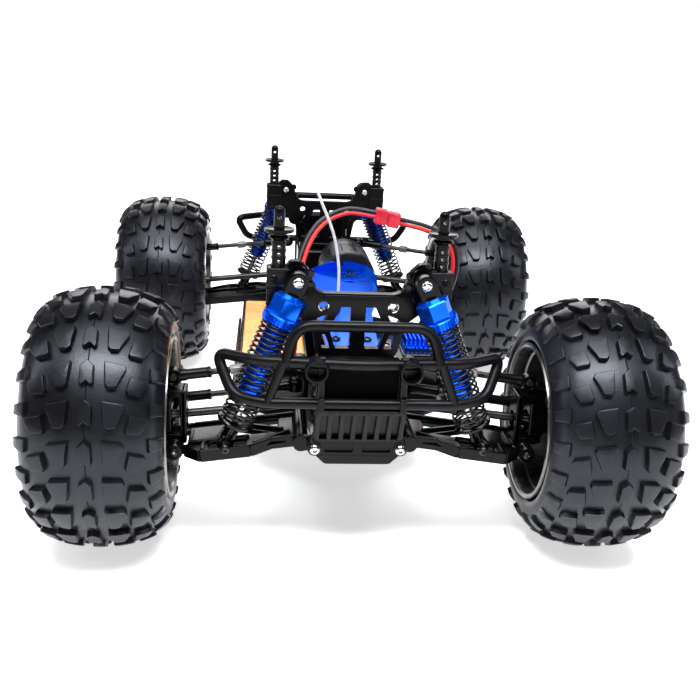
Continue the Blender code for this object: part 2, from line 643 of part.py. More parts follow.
def corner(end, side):
    sign, axle = SIDES[side], AXLE[end]
    name = f"{end}_{side}"
    lower_arm(end, side, body_frame(f"arm_{name}", (sign * ARM_INNER[0], axle, ARM_INNER[1])))
    inner, outer = link_ends(end, side)
    rod_link(f"upper_link_{name}", inner, outer, Vector((0, 1, 0)), body_frame(f"link_{name}", inner))
    drive_shaft(end, side, body_frame(f"half_shaft_{name}", (sign * SHAFT_INNER[0], axle, SHAFT_INNER[1])))
    pin = outer_pin(end, side)
    if end == "front":
        hub_carrier(side, body_frame(f"hub_{name}", pin))
        steering_knuckle(side, body_frame(f"knuckle_{name}", (sign * KINGPIN_X, axle, TYRE_RADIUS)))
    else:
        rear_upright(side, body_frame(f"hub_{name}", pin))
    wheel(end, side, body_frame(f"wheel_{name}", (sign * TRACK / 2, axle, TYRE_RADIUS)))
    top, foot = shock_line(end, side)
    shock = body_frame(f"shock_{name}", top)
    shock_body(end, side, shock)
    shock_spring(end, side, shock)
    shock_shaft(end, side, body_frame(f"shock_rod_{name}", foot))


# ---- steering -----------------------------------------------------------------------------------------
def steering():
    x, y, z = HORN_AXIS
    servo = [block((x - 10, y - 10, PLATE_TOP + GAP), (x + 10, y + 30.5, z - 4), bevel=1),
             block((x - 10, y - 14.5, 74), (x + 10, y + 36, 76.5)),
             rod((x, y, z - 5), (x, y, z - 2), 5.5, sides=12),
             rod((x, y, z - 3), (x, y, z + 2), 1.6, sides=8)]
    piece("steering_servo", BLACK_PLASTIC, servo)
    horn = [rod((x, y, z - 1.5), (x, y, z + 2.5), 4.5, sides=12),
            block((x - 3, y - HORN_REACH, z - 0.5), (x + 3, y, z + 2.5)),
            rod((x, y - HORN_REACH, z + 2.5), (x, y - HORN_REACH, z - 7.5), 1.4, sides=8),
            rod((x, y - HORN_REACH, z - 0.5), (x, y - HORN_REACH, z + 2.5), 3, sides=12)]
    hub_bore = rod((x, y, z - 4), (x, y, z + 5), 2.0, sides=8)
    piece("servo_horn", BLACK_PLASTIC, horn, [hub_bore], body_frame("horn", HORN_AXIS))
    rack = body_frame("rack", (0, TIE_Y, TIE_INNER[1]))
    half = TIE_INNER[0]
    low, high = TIE_INNER[1] + 1.0, TIE_INNER[1] + 6.5
    slot_outline = [(x - 2.1, -2.4), (x + 2.1, -2.4), (x + 2.1, 5.2), (x - 2.1, 5.2)]
    bar = [(-half, -3.2), (half, -3.2), (half, 3.2), (x + 6, 3.2), (x + 5, 7.4), (x - 5, 7.4),
           (x - 6, 3.2), (-half, 3.2)]
    placing = Matrix.Translation((0, TIE_Y, (low + high) / 2 + 0.2))
    piece("steering_link", BLACK_PLASTIC, [plate(bar, high - low - 1, placing, [slot_outline])], carrier=rack)
    for side, sign in SIDES.items():
        inner = Vector((sign * TIE_INNER[0], TIE_Y, TIE_INNER[1] - 3))
        outer = inner + Vector((sign * ARM_REACH["front"][0], 0, ARM_REACH["front"][1]))
        rod_link(f"tie_rod_{side}", inner, outer, Vector((0, 0, 1)), body_frame(f"tie_{side}", inner))


# ---- drive line ---------------------------------------------------------------------------------------
def gear(teeth, centre, turn, y_range, hub_radius):
    """A spur gear about the Y axis, with slim straight-flanked teeth that leave backlash."""
    pitch_radius = MODULE * teeth / 2
    root, tip = pitch_radius - 1.0 * MODULE, pitch_radius + 0.8 * MODULE
    step = 2 * math.pi / teeth
    outline = []
    for i in range(teeth):
        middle = turn + i * step
        for share, radius in ((-0.27, root), (-0.12, tip), (0.12, tip), (0.27, root)):
            angle = middle + share * step
            outline.append((radius * math.cos(angle), radius * math.sin(angle)))
    low, high = y_range
    placing = Matrix.Translation((centre[0], (low + high) / 2, centre[1])) @ XZ_PLANE
    return plate(outline, high - low, placing, [circle(0, 0, hub_radius, 12)])


def drive_line():
    centre = (0, CENTRE_HEIGHT)
    front_end, back_end = AXLE["front"] + 11, AXLE["rear"] - 11
    shaft = body_frame("centre_shaft", (0, 0, CENTRE_HEIGHT))
    solids = [rod((0, front_end, CENTRE_HEIGHT), (0, back_end, CENTRE_HEIGHT), 2.5, sides=12),
              rod((0, 26, CENTRE_HEIGHT), (0, 37, CENTRE_HEIGHT), 5.5, sides=12),
              gear(SPUR_TEETH, centre, MOTOR_ANGLE, GEAR_Y, 2.0)]
    for y in (front_end + 14, back_end - 14):
        solids.append(rod((0, y - 6, CENTRE_HEIGHT), (0, y + 6, CENTRE_HEIGHT), 4.2, sides=12))
    piece("centre_shaft_and_spur", BLACK_STEEL, solids, carrier=shaft)
    x, z = MOTOR_XZ
    half_tooth = math.pi / PINION_TEETH
    pinion = body_frame("pinion", (x, 0, z))
    solids = [gear(PINION_TEETH, MOTOR_XZ, MOTOR_ANGLE + math.pi + half_tooth, GEAR_Y, 1.0),
              rod((x, 27, z), (x, 46.4, z), 1.6, sides=8),
              rod((x, GEAR_Y[1] - 1, z), (x, 41, z), 4.5, sides=12)]
    piece("motor_pinion", STEEL, solids, carrier=pinion)
    can_front, can_back = 42.4, 95.0
    can = [(can_front, 0), (can_front, 6), (can_front + 1, 17), (can_front + 2, 18), (can_back - 6, 18),
           (can_back - 5, 17.2),
           (can_back, 17.2), (can_back, 4), (can_back + 3, 4), (can_back + 3, 0)]
    piece("motor_can", BLACK_STEEL, [turned(can, frame((x, 0, z), x_axis=(0, 1, 0)), steps=20)],
          [rod((x, can_front - 2, z), (x, 48, z), 2.3, sides=8)])


# ---- battery and speed controller, each with its own lead --------------------------------------------
PLUG = Vector((27, -20, 142))          # where the two halves of the plug meet
BATTERY_LEAD = [(-30, -84, 68), (-28, -84, 92), (-25, -50, 117), (-15, -28, 136), (2, -20, 145),
                (PLUG.x - 6, -20, 143.6)]
CONTROLLER_LEAD = [(PLUG.x + 6, -20, 140.6), (52, -20, 136), (66, -20, 128), (70, -20, 112),
                   (64, -22, 92), (56, -24, 76)]


def battery_pack():
    lead = smooth_path(BATTERY_LEAD)
    plug_half = block(PLUG + Vector((-7.5, -4, -3.5)), PLUG + Vector((-0.2, 4, 5)), bevel=0.8)
    piece("battery_pack", BATTERY_WRAP,
          [block((-58, -88, PLATE_TOP + GAP), (-19.5, 45, 73.4), bevel=4),
           tube(lead, 2.6, resolution=1), plug_half])


def speed_controller():
    lead = smooth_path(CONTROLLER_LEAD)
    plug_half = block(PLUG + Vector((0.2, -4, -5)), PLUG + Vector((7.5, 4, 3.5)), bevel=0.8)
    piece("speed_controller", BLACK_PLASTIC,
          [block((35, -58, PLATE_TOP + GAP), (58, -12, 70), bevel=1.5), block((38, -50, 69), (57, -20, 77)),
           tube(lead, 2.6, resolution=1), plug_half])


# ---- the truck ----------------------------------------------------------------------------------------
chassis_plate()
radio_receiver()
for each_end in AXLE:
    gearbox(each_end)
    shock_tower(each_end)
    bumper(each_end)
for each_end, each_side in CORNERS:
    corner(each_end, each_side)
    body_post(each_end, each_side)
steering()
drive_line()
battery_pack()
speed_controller()
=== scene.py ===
"""The looks of the monster truck: every visible piece, its material, the floor, the lights and the camera.

Shapes are worked out in millimetres in the row frame (+X towards the truck's left side, +Y towards its
tail) and scaled to metres as each piece is made.
"""

import json
import math

import bmesh
import bpy
from mathutils import Matrix, Vector


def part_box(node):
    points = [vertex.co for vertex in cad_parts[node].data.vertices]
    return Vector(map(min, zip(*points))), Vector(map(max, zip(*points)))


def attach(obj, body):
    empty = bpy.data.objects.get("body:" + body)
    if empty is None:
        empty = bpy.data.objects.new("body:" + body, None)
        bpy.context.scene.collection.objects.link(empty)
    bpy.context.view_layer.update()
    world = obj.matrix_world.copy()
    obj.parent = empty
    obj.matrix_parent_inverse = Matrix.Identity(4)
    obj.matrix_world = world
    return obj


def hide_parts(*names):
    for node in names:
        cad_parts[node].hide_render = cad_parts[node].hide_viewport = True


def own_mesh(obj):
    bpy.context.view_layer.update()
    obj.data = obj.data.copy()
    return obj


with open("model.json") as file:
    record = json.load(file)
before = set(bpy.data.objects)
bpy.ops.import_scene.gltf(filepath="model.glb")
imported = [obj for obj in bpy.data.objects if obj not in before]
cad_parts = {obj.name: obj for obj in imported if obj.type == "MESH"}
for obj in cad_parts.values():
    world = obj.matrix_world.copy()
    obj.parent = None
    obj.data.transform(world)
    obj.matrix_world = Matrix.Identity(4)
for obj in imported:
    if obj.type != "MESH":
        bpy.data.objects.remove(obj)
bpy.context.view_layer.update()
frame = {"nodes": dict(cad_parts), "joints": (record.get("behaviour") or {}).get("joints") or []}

MM = 0.001
JOINTS = {joint["name"]: joint for joint in frame["joints"]}
AXLE = {end: JOINTS[f"wheel_spin_{end}_left"]["pos_m"][1] / MM for end in ("front", "rear")}
OUTWARD = {"front": -1, "rear": 1}
SIDES = {"left": 1, "right": -1}
CORNERS = [(end, side) for end in AXLE for side in SIDES]
TYRE_RADIUS = JOINTS["wheel_spin_front_left"]["pos_m"][2] / MM
X, Y, Z = Vector((1, 0, 0)), Vector((0, 1, 0)), Vector((0, 0, 1))


def pivot(joint):
    """The place of a joint's axis, in millimetres."""
    return Vector(JOINTS[joint]["pos_m"]) / MM


def box(node):
    """Lowest and highest corner of a CAD node, in millimetres."""
    low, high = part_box(node)
    return low / MM, high / MM


# ---- driving dimensions, in millimetres ---------------------------------------------------------------
RIM_RADIUS, RIM_RIBS, RIM_STUDS = 38.0, 12, 6
ARM_INNER = (26, 57)                                      # the lower arms' hinge: x, z
ARM_REACH = {"front": (60, -8), "rear": (70, -8)}         # from the hinge to the outer pin: x, z
ARM_HALF_LENGTH = 16.1
LINK_INNER = {"front": (27, 91), "rear": (27, 95)}
SHAFT_INNER, SHAFT_OUTER = (17, 71), (91.5, 62.8)
SHOCK_TOP, SHOCK_FOOT = (29.3, 134), (61.4, 55)
SHOCK_OFFSET = 13.8                                       # how far the shocks stand outside the axle line
KINGPIN_X, STEER_ARM = 91.5, 20
PIN_REACH, PIN_RADIUS = 14.2, 1.5                         # the steel pins through the hubs
STUB_BORE = 5.7                                           # the hole for a wheel's axle
TIE_Y = AXLE["front"] + STEER_ARM
TIE_INNER = (28, 75)
HORN_LENGTH = 19.5
HORN_AXIS = Vector((20, TIE_Y + HORN_LENGTH, 86))
TRAY_LOW, TRAY_TOP = 45, 48
FITTING_BASE = 48.4                                       # the underside of what stands on the tray
DECK_LOW, DECK_TOP = 92, 95
TRAY_SCREWS = [(side * 52, y) for side in (-1, 1) for y in (-60, 52)]
DECK_SCREWS = [(x, y) for x in (-8, 8) for y in (-112, -66)]
POST_X, POST_TOP = 38.3, 166
TOWER_Y = {end: AXLE[end] - 0.5 * OUTWARD[end] for end in AXLE}
CENTRE_HEIGHT = 68.5                                      # the centre shaft's axis
WALL_Y = 40                                               # the motor wall's middle
MOTOR = Vector((12, 0, 89.28))
MOTOR_RADIUS, MOTOR_RIBS = 18, 26
AERIAL_XY = (-3, -56)


# ---- camera, light and floor --------------------------------------------------------------------------
CAMERA_PLACE = (-45.4, -560.9, 234.9)
CAMERA_HEADING, CAMERA_DOWN, CAMERA_TILT = -0.1, 0.312, 0.05      # radians
CAMERA_LENS, CAMERA_SENSOR = 47.72, 36.0
SKY_STRENGTH = 0.08
SUN_WIDTH, SUN_STRENGTH, SUN_TURN = 50, 2.5, (8, -3, 0)           # the width and the turn in degrees
# name, place, target and size in metres, watts, colour
LAMPS = [
    ("top_front", (0.0, -0.55, 1.0), (0, -0.14, 0.08), (0.8, 0.25), 17, (0.93, 0.96, 1)),
    ("side_left", (-1.0, -0.2, 0.75), (0, -0.1, 0.05), (0.3, 0.7), 3, (0.92, 0.95, 1)),
    ("side_right", (1.0, -0.2, 0.75), (0, -0.1, 0.05), (0.3, 0.7), 3, (0.92, 0.95, 1)),
    ("back", (0, 1.2, 0.7), (0, 0.1, 0.08), (1.4, 0.4), 8, (1, 1, 1)),
]


def add_camera():
    """The view from low in front of the truck."""
    level = Vector((math.cos(CAMERA_HEADING), math.sin(CAMERA_HEADING), 0))
    forward = Vector((-math.sin(CAMERA_HEADING) * math.cos(CAMERA_DOWN),
                      math.cos(CAMERA_HEADING) * math.cos(CAMERA_DOWN), -math.sin(CAMERA_DOWN)))
    upright = level.cross(forward)
    right = level * math.cos(CAMERA_TILT) + upright * math.sin(CAMERA_TILT)
    up = upright * math.cos(CAMERA_TILT) - level * math.sin(CAMERA_TILT)
    data = bpy.data.cameras.new("camera")
    data.lens = CAMERA_LENS
    data.sensor_width = CAMERA_SENSOR
    data.clip_start = 0.01
    camera = bpy.data.objects.new("camera", data)
    turn = Matrix((right, up, -forward)).transposed().to_4x4()
    camera.matrix_world = Matrix.Translation(Vector(CAMERA_PLACE) * MM) @ turn
    bpy.context.scene.collection.objects.link(camera)
    bpy.context.scene.camera = camera


def add_light(name, place, target, size, watts, colour):
    """A rectangular lamp at a place, facing its target."""
    data = bpy.data.lights.new(name, "AREA")
    data.shape = "RECTANGLE"
    data.size, data.size_y = size
    data.energy = watts
    data.color = colour
    lamp = bpy.data.objects.new(name, data)
    lamp.location = place
    lamp.rotation_euler = (Vector(target) - Vector(place)).to_track_quat("-Z", "Y").to_euler()
    bpy.context.scene.collection.objects.link(lamp)


def add_studio():
    """A sky that is white to the camera and dim as a light, a wide soft sun, and the lamps."""
    world = bpy.data.worlds.new("studio")
    bpy.context.scene.world = world
    world.use_nodes = True
    nodes, links = world.node_tree.nodes, world.node_tree.links
    dim = nodes["Background"]
    dim.inputs["Color"].default_value = (0.92, 0.96, 1.0, 1)
    dim.inputs["Strength"].default_value = SKY_STRENGTH
    white = nodes.new("ShaderNodeBackground")
    white.inputs["Color"].default_value = (1, 1, 1, 1)
    white.inputs["Strength"].default_value = 1.0
    path = nodes.new("ShaderNodeLightPath")
    chosen = nodes.new("ShaderNodeMixShader")
    links.new(path.outputs["Is Camera Ray"], chosen.inputs[0])
    links.new(dim.outputs[0], chosen.inputs[1])
    links.new(white.outputs[0], chosen.inputs[2])
    links.new(chosen.outputs[0], nodes["World Output"].inputs["Surface"])
    bpy.context.scene.view_settings.view_transform = "Standard"
    data = bpy.data.lights.new("sky_panel", "SUN")
    data.angle = math.radians(SUN_WIDTH)
    data.energy = SUN_STRENGTH
    sky = bpy.data.objects.new("sky_panel", data)
    sky.rotation_euler = [math.radians(turn) for turn in SUN_TURN]
    bpy.context.scene.collection.objects.link(sky)
    for lamp in LAMPS:
        add_light(*lamp)


# ---- materials ----------------------------------------------------------------------------------------
def material(name, dark, light, roughness, metallic=0.0, patch=60, grain=(1500, 0.15), **sockets):
    """A Principled material whose colour and roughness drift in soft patches, with a fine grain as bump."""
    made = bpy.data.materials.new(name)
    made.use_nodes = True
    nodes, links = made.node_tree.nodes, made.node_tree.links
    shader = nodes["Principled BSDF"]
    place = nodes.new("ShaderNodeTexCoord")
    patches = nodes.new("ShaderNodeTexNoise")
    patches.inputs["Scale"].default_value = patch
    patches.inputs["Detail"].default_value = 5
    patches.inputs["Roughness"].default_value = 0.6
    links.new(place.outputs["Object"], patches.inputs["Vector"])
    ramp = nodes.new("ShaderNodeValToRGB")
    for element, at, colour in zip(ramp.color_ramp.elements, (0.35, 0.68), (dark, light)):
        element.position = at
        element.color = (*colour, 1)
    links.new(patches.outputs["Fac"], ramp.inputs["Fac"])
    links.new(ramp.outputs["Color"], shader.inputs["Base Color"])
    spread = nodes.new("ShaderNodeMapRange")
    spread.inputs["From Min"].default_value, spread.inputs["From Max"].default_value = 0.3, 0.7
    spread.inputs["To Min"].default_value, spread.inputs["To Max"].default_value = roughness
    links.new(patches.outputs["Fac"], spread.inputs["Value"])
    links.new(spread.outputs["Result"], shader.inputs["Roughness"])
    fine = nodes.new("ShaderNodeTexNoise")
    fine.inputs["Scale"].default_value = grain[0]
    fine.inputs["Detail"].default_value = 3
    links.new(place.outputs["Object"], fine.inputs["Vector"])
    bump = nodes.new("ShaderNodeBump")
    bump.inputs["Strength"].default_value = grain[1]
    bump.inputs["Distance"].default_value = 0.0002
    links.new(fine.outputs["Fac"], bump.inputs["Height"])
    links.new(bump.outputs["Normal"], shader.inputs["Normal"])
    shader.inputs["Metallic"].default_value = metallic
    for socket, value in sockets.items():
        shader.inputs[socket.replace("_", " ")].default_value = value
    return made


PLASTIC = material("moulded_black_plastic", (0.0015, 0.0015, 0.0018), (0.004, 0.004, 0.0045), (0.28, 0.40),
                   grain=(1800, 0.16), Specular_IOR_Level=0.14)
SATIN_PLASTIC = material("satin_black_plastic", (0.001, 0.001, 0.0012), (0.003, 0.003, 0.0034), (0.16, 0.26),
                         grain=(1200, 0.06), Specular_IOR_Level=0.13)
GLOSS_PLASTIC = material("polished_black_plastic", (0.0012, 0.0012, 0.0015), (0.003, 0.003, 0.0035),
                         (0.10, 0.18), grain=(900, 0.04), Specular_IOR_Level=0.22)
# A matt black made darker than the other plastics, with almost no reflection: painted shade for the recessed
# bumper panel.
MATT_SHADE_PLASTIC = material("matt_black_plastic_painted_shade", (0.0006, 0.0006, 0.0008), (0.0015, 0.0015, 0.0018),
                        (0.45, 0.6), grain=(1800, 0.2), Specular_IOR_Level=0.02)
RUBBER = material("tyre_rubber", (0.003, 0.003, 0.004), (0.008, 0.0083, 0.010), (0.26, 0.38), patch=35,
                  grain=(900, 0.3), Specular_IOR_Level=0.33, Specular_Tint=(0.86, 0.90, 1.0, 1))
BLUE = material("blue_anodised_aluminium", (0.0, 0.105, 0.86), (0.0, 0.13, 0.95), (0.21, 0.24), metallic=0.85,
                patch=120, grain=(3000, 0.01), Specular_Tint=(0.15, 0.5, 1.0, 1), Coat_Weight=0.15,
                Coat_Roughness=0.12)
SILVER = material("satin_silver", (0.14, 0.14, 0.138), (0.27, 0.266, 0.256), (0.22, 0.34), metallic=0.95,
                  patch=45, grain=(700, 0.12))
BRIGHT = material("bright_steel", (0.62, 0.60, 0.57), (0.82, 0.80, 0.77), (0.10, 0.24), metallic=1.0,
                  patch=200)
ROD_STEEL = material("plain_steel", (0.10, 0.10, 0.10), (0.24, 0.235, 0.225), (0.24, 0.40), metallic=0.95,
                     patch=150)
BRASS = material("brass", (0.62, 0.42, 0.16), (0.80, 0.58, 0.26), (0.18, 0.32), metallic=1.0, patch=200)
BLACK_CHROME = material("black_chrome", (0.008, 0.008, 0.010), (0.022, 0.022, 0.026), (0.08, 0.18),
                        metallic=0.6, patch=150, grain=(600, 0.05))
DARK_STEEL = material("blackened_steel", (0.02, 0.02, 0.021), (0.06, 0.06, 0.06), (0.25, 0.42), metallic=0.9,
                      patch=120)
WRAP = material("orange_shrink_wrap", (0.90, 0.20, 0.01), (1.0, 0.42, 0.05), (0.2, 0.36), patch=22,
                grain=(60, 0.35), Coat_Weight=0.25)
RED_NYLON = material("red_nylon", (0.55, 0.01, 0.03), (0.80, 0.03, 0.05), (0.22, 0.38), patch=120)
RED_SILICONE = material("red_silicone", (0.55, 0.008, 0.008), (0.78, 0.02, 0.015), (0.34, 0.5), patch=100)
BLACK_SILICONE = material("black_silicone", (0.004, 0.004, 0.005), (0.012, 0.012, 0.014), (0.34, 0.5),
                          patch=100)
WHITE_PLASTIC = material("white_plastic", (0.62, 0.62, 0.60), (0.80, 0.80, 0.78), (0.3, 0.45), patch=120)
FLOOR = material("pale_floor", (0.92, 0.92, 0.92), (0.94, 0.94, 0.94), (0.6, 0.7), patch=2, grain=(30, 0.0),
                 Emission_Color=(1, 1, 1, 1), Emission_Strength=0.62)


# ---- solids, in millimetres ---------------------------------------------------------------------------
ONTO_X = Matrix.Rotation(math.pi / 2, 4, "Y")       # turns a prism's height from z onto x
XZ_PLANE = Matrix(((1, 0, 0, 0), (0, 0, -1, 0), (0, 1, 0, 0), (0, 0, 0, 1)))


def mesh_from(bm):
    """The bmesh as a mesh whose faces point outwards."""
    bmesh.ops.recalc_face_normals(bm, faces=bm.faces)
    if bm.calc_volume(signed=True) < 0:
        bmesh.ops.reverse_faces(bm, faces=bm.faces)
    mesh = bpy.data.meshes.new("solid")
    bm.to_mesh(mesh)
    bm.free()
    return mesh


def frame_at(origin, x_axis):
    """A placing matrix whose x axis points as asked."""
    turn = Vector(x_axis).to_track_quat("X", "Z")
    return Matrix.Translation(Vector(origin)) @ turn.to_matrix().to_4x4()


def wheel_turn(i, count):
    """The turn about the x axis to the i-th of count places round a circle."""
    return Matrix.Rotation(2 * math.pi * i / count, 4, "X")


def block(one, other, bevel=0.0, matrix=None):
    """A box between two opposite corners, with its edges rounded by bevel."""
    low, high = Vector(map(min, one, other)), Vector(map(max, one, other))
    bm = bmesh.new()
    bmesh.ops.create_cube(bm, size=1.0)
    bmesh.ops.scale(bm, vec=high - low, verts=bm.verts)
    bmesh.ops.translate(bm, vec=(low + high) / 2, verts=bm.verts)
    if bevel:
        bmesh.ops.bevel(bm, geom=bm.edges, offset=bevel, segments=3, affect="EDGES", profile=0.5)
    if matrix is not None:
        bm.transform(matrix)
    return mesh_from(bm)


def beam(start, end, width, height, upward=Z, bevel=0.5):
    """A bar of rectangular section with rounded edges from start to end."""
    start, end = Vector(start), Vector(end)
    along = (end - start).normalized()
    side = along.cross(Vector(upward)).normalized()
    rise = side.cross(along)
    matrix = Matrix.Translation((start + end) / 2) @ Matrix((along, side, rise)).transposed().to_4x4()
    half = Vector(((end - start).length / 2, width / 2, height / 2))
    return block(-half, half, bevel, matrix)


def rod(start, end, radius, end_radius=None, sides=24, bevel=0.0):
    """A cylinder or a cone from start to end, with its rims rounded by bevel."""
    start, end = Vector(start), Vector(end)
    bm = bmesh.new()
    bmesh.ops.create_cone(bm, cap_ends=True, segments=sides, radius1=radius,
                          radius2=radius if end_radius is None else end_radius, depth=(end - start).length)
    if bevel:
        rims = [edge for edge in bm.edges if any(len(face.verts) > 4 for face in edge.link_faces)]
        bmesh.ops.bevel(bm, geom=rims, offset=bevel, segments=2, affect="EDGES", profile=0.5)
    turn = (end - start).to_track_quat("Z", "Y").to_matrix().to_4x4()
    bm.transform(Matrix.Translation((start + end) / 2) @ turn)
    return mesh_from(bm)


def pin(centre, axis, reach, radius, sides=16, bevel=0.0):
    """A rod that reaches as far on either side of its centre."""
    return rod(centre - axis * reach, centre + axis * reach, radius, sides=sides, bevel=bevel)


def ball(centre, radius):
    bm = bmesh.new()
    bmesh.ops.create_uvsphere(bm, u_segments=20, v_segments=10, radius=radius)
    bm.transform(Matrix.Translation(Vector(centre)))
    return mesh_from(bm)


def circle(x, y, radius, sides=16, turn=0.0):
    """The points of a circle about (x, y)."""
    angles = [turn + 2 * math.pi * i / sides for i in range(sides)]
    return [(x + radius * math.cos(a), y + radius * math.sin(a)) for a in angles]


def hexagon(radius, turn=0.0):
    return circle(0, 0, radius, 6, turn)


def bridge(bm, one, two):
    """Joins two rings of as many points by a band of faces."""
    count = len(one)
    for i in range(count):
        j = (i + 1) % count
        bm.faces.new((one[i], one[j], two[j], two[i]))


def turned(profile, matrix, steps=48, closed=False):
    """A profile of (along, radius) points spun about the matrix's x axis. A closed profile makes a ring."""
    bm = bmesh.new()
    rings = []
    for along, radius in profile:
        if radius < 1e-6:
            rings.append([bm.verts.new((along, 0, 0))])
            continue
        ring = circle(0, 0, radius, steps)
        rings.append([bm.verts.new((along, y, z)) for z, y in ring])
    pairs = list(zip(rings, rings[1:]))
    if closed:
        pairs.append((rings[-1], rings[0]))
    for one, two in pairs:
        for i in range(steps):
            j = (i + 1) % steps
            corners = [one[i % len(one)], one[j % len(one)], two[j % len(two)], two[i % len(two)]]
            unique = list(dict.fromkeys(corners))
            if len(unique) > 2:
                bm.faces.new(unique)
    bm.transform(matrix)
    return mesh_from(bm)


def curve_mesh(obj):
    """The mesh of a curve object, its loose caps welded. The curve is removed."""
    bpy.context.view_layer.update()
    graph = bpy.context.evaluated_depsgraph_get()
    mesh = bpy.data.meshes.new_from_object(obj.evaluated_get(graph))
    bpy.data.objects.remove(obj)
    bm = bmesh.new()
    bm.from_mesh(mesh)
    bmesh.ops.remove_doubles(bm, verts=bm.verts, dist=0.0005)
    return mesh_from(bm)


def tube(points, radius, resolution=4, cyclic=False):
    """A round tube along the points."""
    curve = bpy.data.curves.new("curve", "CURVE")
    curve.dimensions = "3D"
    curve.bevel_depth = radius
    curve.bevel_resolution = resolution
    curve.use_fill_caps = True
    curve.twist_mode = "MINIMUM"
    spline = curve.splines.new("POLY")
    spline.points.add(len(points) - 1)
    for point, place in zip(spline.points, points):
        point.co = (*place, 1)
    spline.use_cyclic_u = cyclic
    obj = bpy.data.objects.new("tube", curve)
    bpy.context.scene.collection.objects.link(obj)
    return curve_mesh(obj)


def prism(outline, low, high, matrix, inset=0.0, edge=0.0):
    """An outline in the matrix's x-y plane raised from low to high.

    Its top is drawn in by inset over the last of its height, edge.
    """
    centre = sum((Vector(p) for p in outline), Vector((0, 0))) / len(outline)
    levels = [(low, 0.0), (high - edge, 0.0), (high, inset)] if edge else [(low, 0.0), (high, 0.0)]
    bm = bmesh.new()
    rings = []
    for height, pull in levels:
        ring = []
        for point in outline:
            away = Vector(point) - centre
            x, y = Vector(point) - away.normalized() * pull
            ring.append(bm.verts.new((x, y, height)))
        rings.append(ring)
    for one, two in zip(rings, rings[1:]):
        bridge(bm, one, two)
    bm.faces.new(rings[0][::-1])
    bm.faces.new(rings[-1])
    bm.transform(matrix)
    return mesh_from(bm)


def joined(meshes):
    """Several solids as one mesh."""
    bm = bmesh.new()
    for mesh in meshes:
        bm.from_mesh(mesh)
    whole = bpy.data.meshes.new("joined")
    bm.to_mesh(whole)
    bm.free()
    return whole


def cut(mesh, cutters):
    """The mesh with cutters taken out of it."""
    obj = bpy.data.objects.new("cut", mesh)
    tool = bpy.data.objects.new("tool", joined(cutters))
    for item in (obj, tool):
        bpy.context.scene.collection.objects.link(item)
    boolean = obj.modifiers.new("cut", "BOOLEAN")
    boolean.operation = "DIFFERENCE"
    boolean.solver = "EXACT"
    boolean.object = tool
    bpy.context.view_layer.update()
    graph = bpy.context.evaluated_depsgraph_get()
    result = bpy.data.meshes.new_from_object(obj.evaluated_get(graph))
    for item in (obj, tool):
        bpy.data.objects.remove(item)
    return result


def rounded_path(corners, radius, steps=6, cyclic=False):
    """The corners of a bent tube, each rounded by an arc of about that radius."""
    corners = [Vector(c) for c in corners]
    count = len(corners)
    path = []
    for i, corner in enumerate(corners):
        if not cyclic and i in (0, count - 1):
            path.append(corner)
            continue
        back, ahead = corners[i - 1] - corner, corners[(i + 1) % count] - corner
        reach = min(radius, back.length * 0.45, ahead.length * 0.45)
        start, end = corner + back.normalized() * reach, corner + ahead.normalized() * reach
        for k in range(steps + 1):
            t = k / steps
            path.append(start * (1 - t) ** 2 + corner * 2 * t * (1 - t) + end * t ** 2)
    return path


def smooth_path(points, steps=6):
    """A Catmull-Rom curve through the points."""
    points = [Vector(p) for p in points]
    padded = [2 * points[0] - points[1], *points, 2 * points[-1] - points[-2]]
    path = []
    for a, b, c, d in zip(padded, padded[1:], padded[2:], padded[3:]):
        for k in range(steps):
            t = k / steps
            path.append(0.5 * (2 * b + (c - a) * t + (2 * a - 5 * b + 4 * c - d) * t ** 2
                               + (3 * b - a - 3 * c + d) * t ** 3))
    path.append(points[-1])
    return path


def collar(centre, axis, low, high, bore, radius, chamfer=(0.5, 0.4)):
    """A hollow cylinder round an axis, from low to high along it. The chamfer is (along, inwards)."""
    along, inwards = chamfer
    section = [(low, bore), (low, radius - inwards), (low + along, radius), (high - along, radius),
               (high, radius - inwards), (high, bore)]
    distinct = list(dict.fromkeys(section))
    return turned(distinct, frame_at(centre, axis), steps=28, closed=True)


def add(name, solids, surface, body, replaces=None, sharp=35):
    """Makes one piece of the truck from solids in millimetres. Edges over the sharp angle stay crisp."""
    mesh = joined(solids) if isinstance(solids, list) else solids
    mesh.name = name
    mesh.transform(Matrix.Scale(MM, 4))
    mesh.materials.clear()
    mesh.materials.append(surface)
    mesh.shade_smooth()
    mesh.set_sharp_from_angle(angle=math.radians(sharp))
    obj = bpy.data.objects.new(name, mesh)
    bpy.context.scene.collection.objects.link(obj)
    flat = obj.modifiers.new("flat_faces_stay_flat", "WEIGHTED_NORMAL")
    flat.weight = 100
    flat.keep_sharp = True
    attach(obj, body)
    if replaces:
        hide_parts(replaces)
    return obj


def repaint(node, surface):
    """Gives a CAD node that stays its finished material."""
    mesh = frame["nodes"][node].data
    mesh.materials.clear()
    mesh.materials.append(surface)


def screw_head(place, axis, radius=2.6, height=1.7):
    """A button head with a socket."""
    profile = [(-0.6, 0), (-0.6, radius * 0.9), (0, radius), (height * 0.35, radius * 0.97),
               (height * 0.75, radius * 0.8), (height, radius * 0.52), (height, radius * 0.46),
               (height * 0.3, radius * 0.46), (height * 0.3, 0)]
    return turned(profile, frame_at(place, axis), steps=18)


def mirrored(outline):
    """A half outline, from the centre line out and back, completed on the other side."""
    return outline + [(-x, y) for x, y in reversed(outline) if x > 0]


def rounded(outline, radius, steps=4):
    """A flat outline with its corners rounded."""
    points = rounded_path([(x, y, 0) for x, y in outline], radius, steps, cyclic=True)
    return [(p.x, p.y) for p in points]


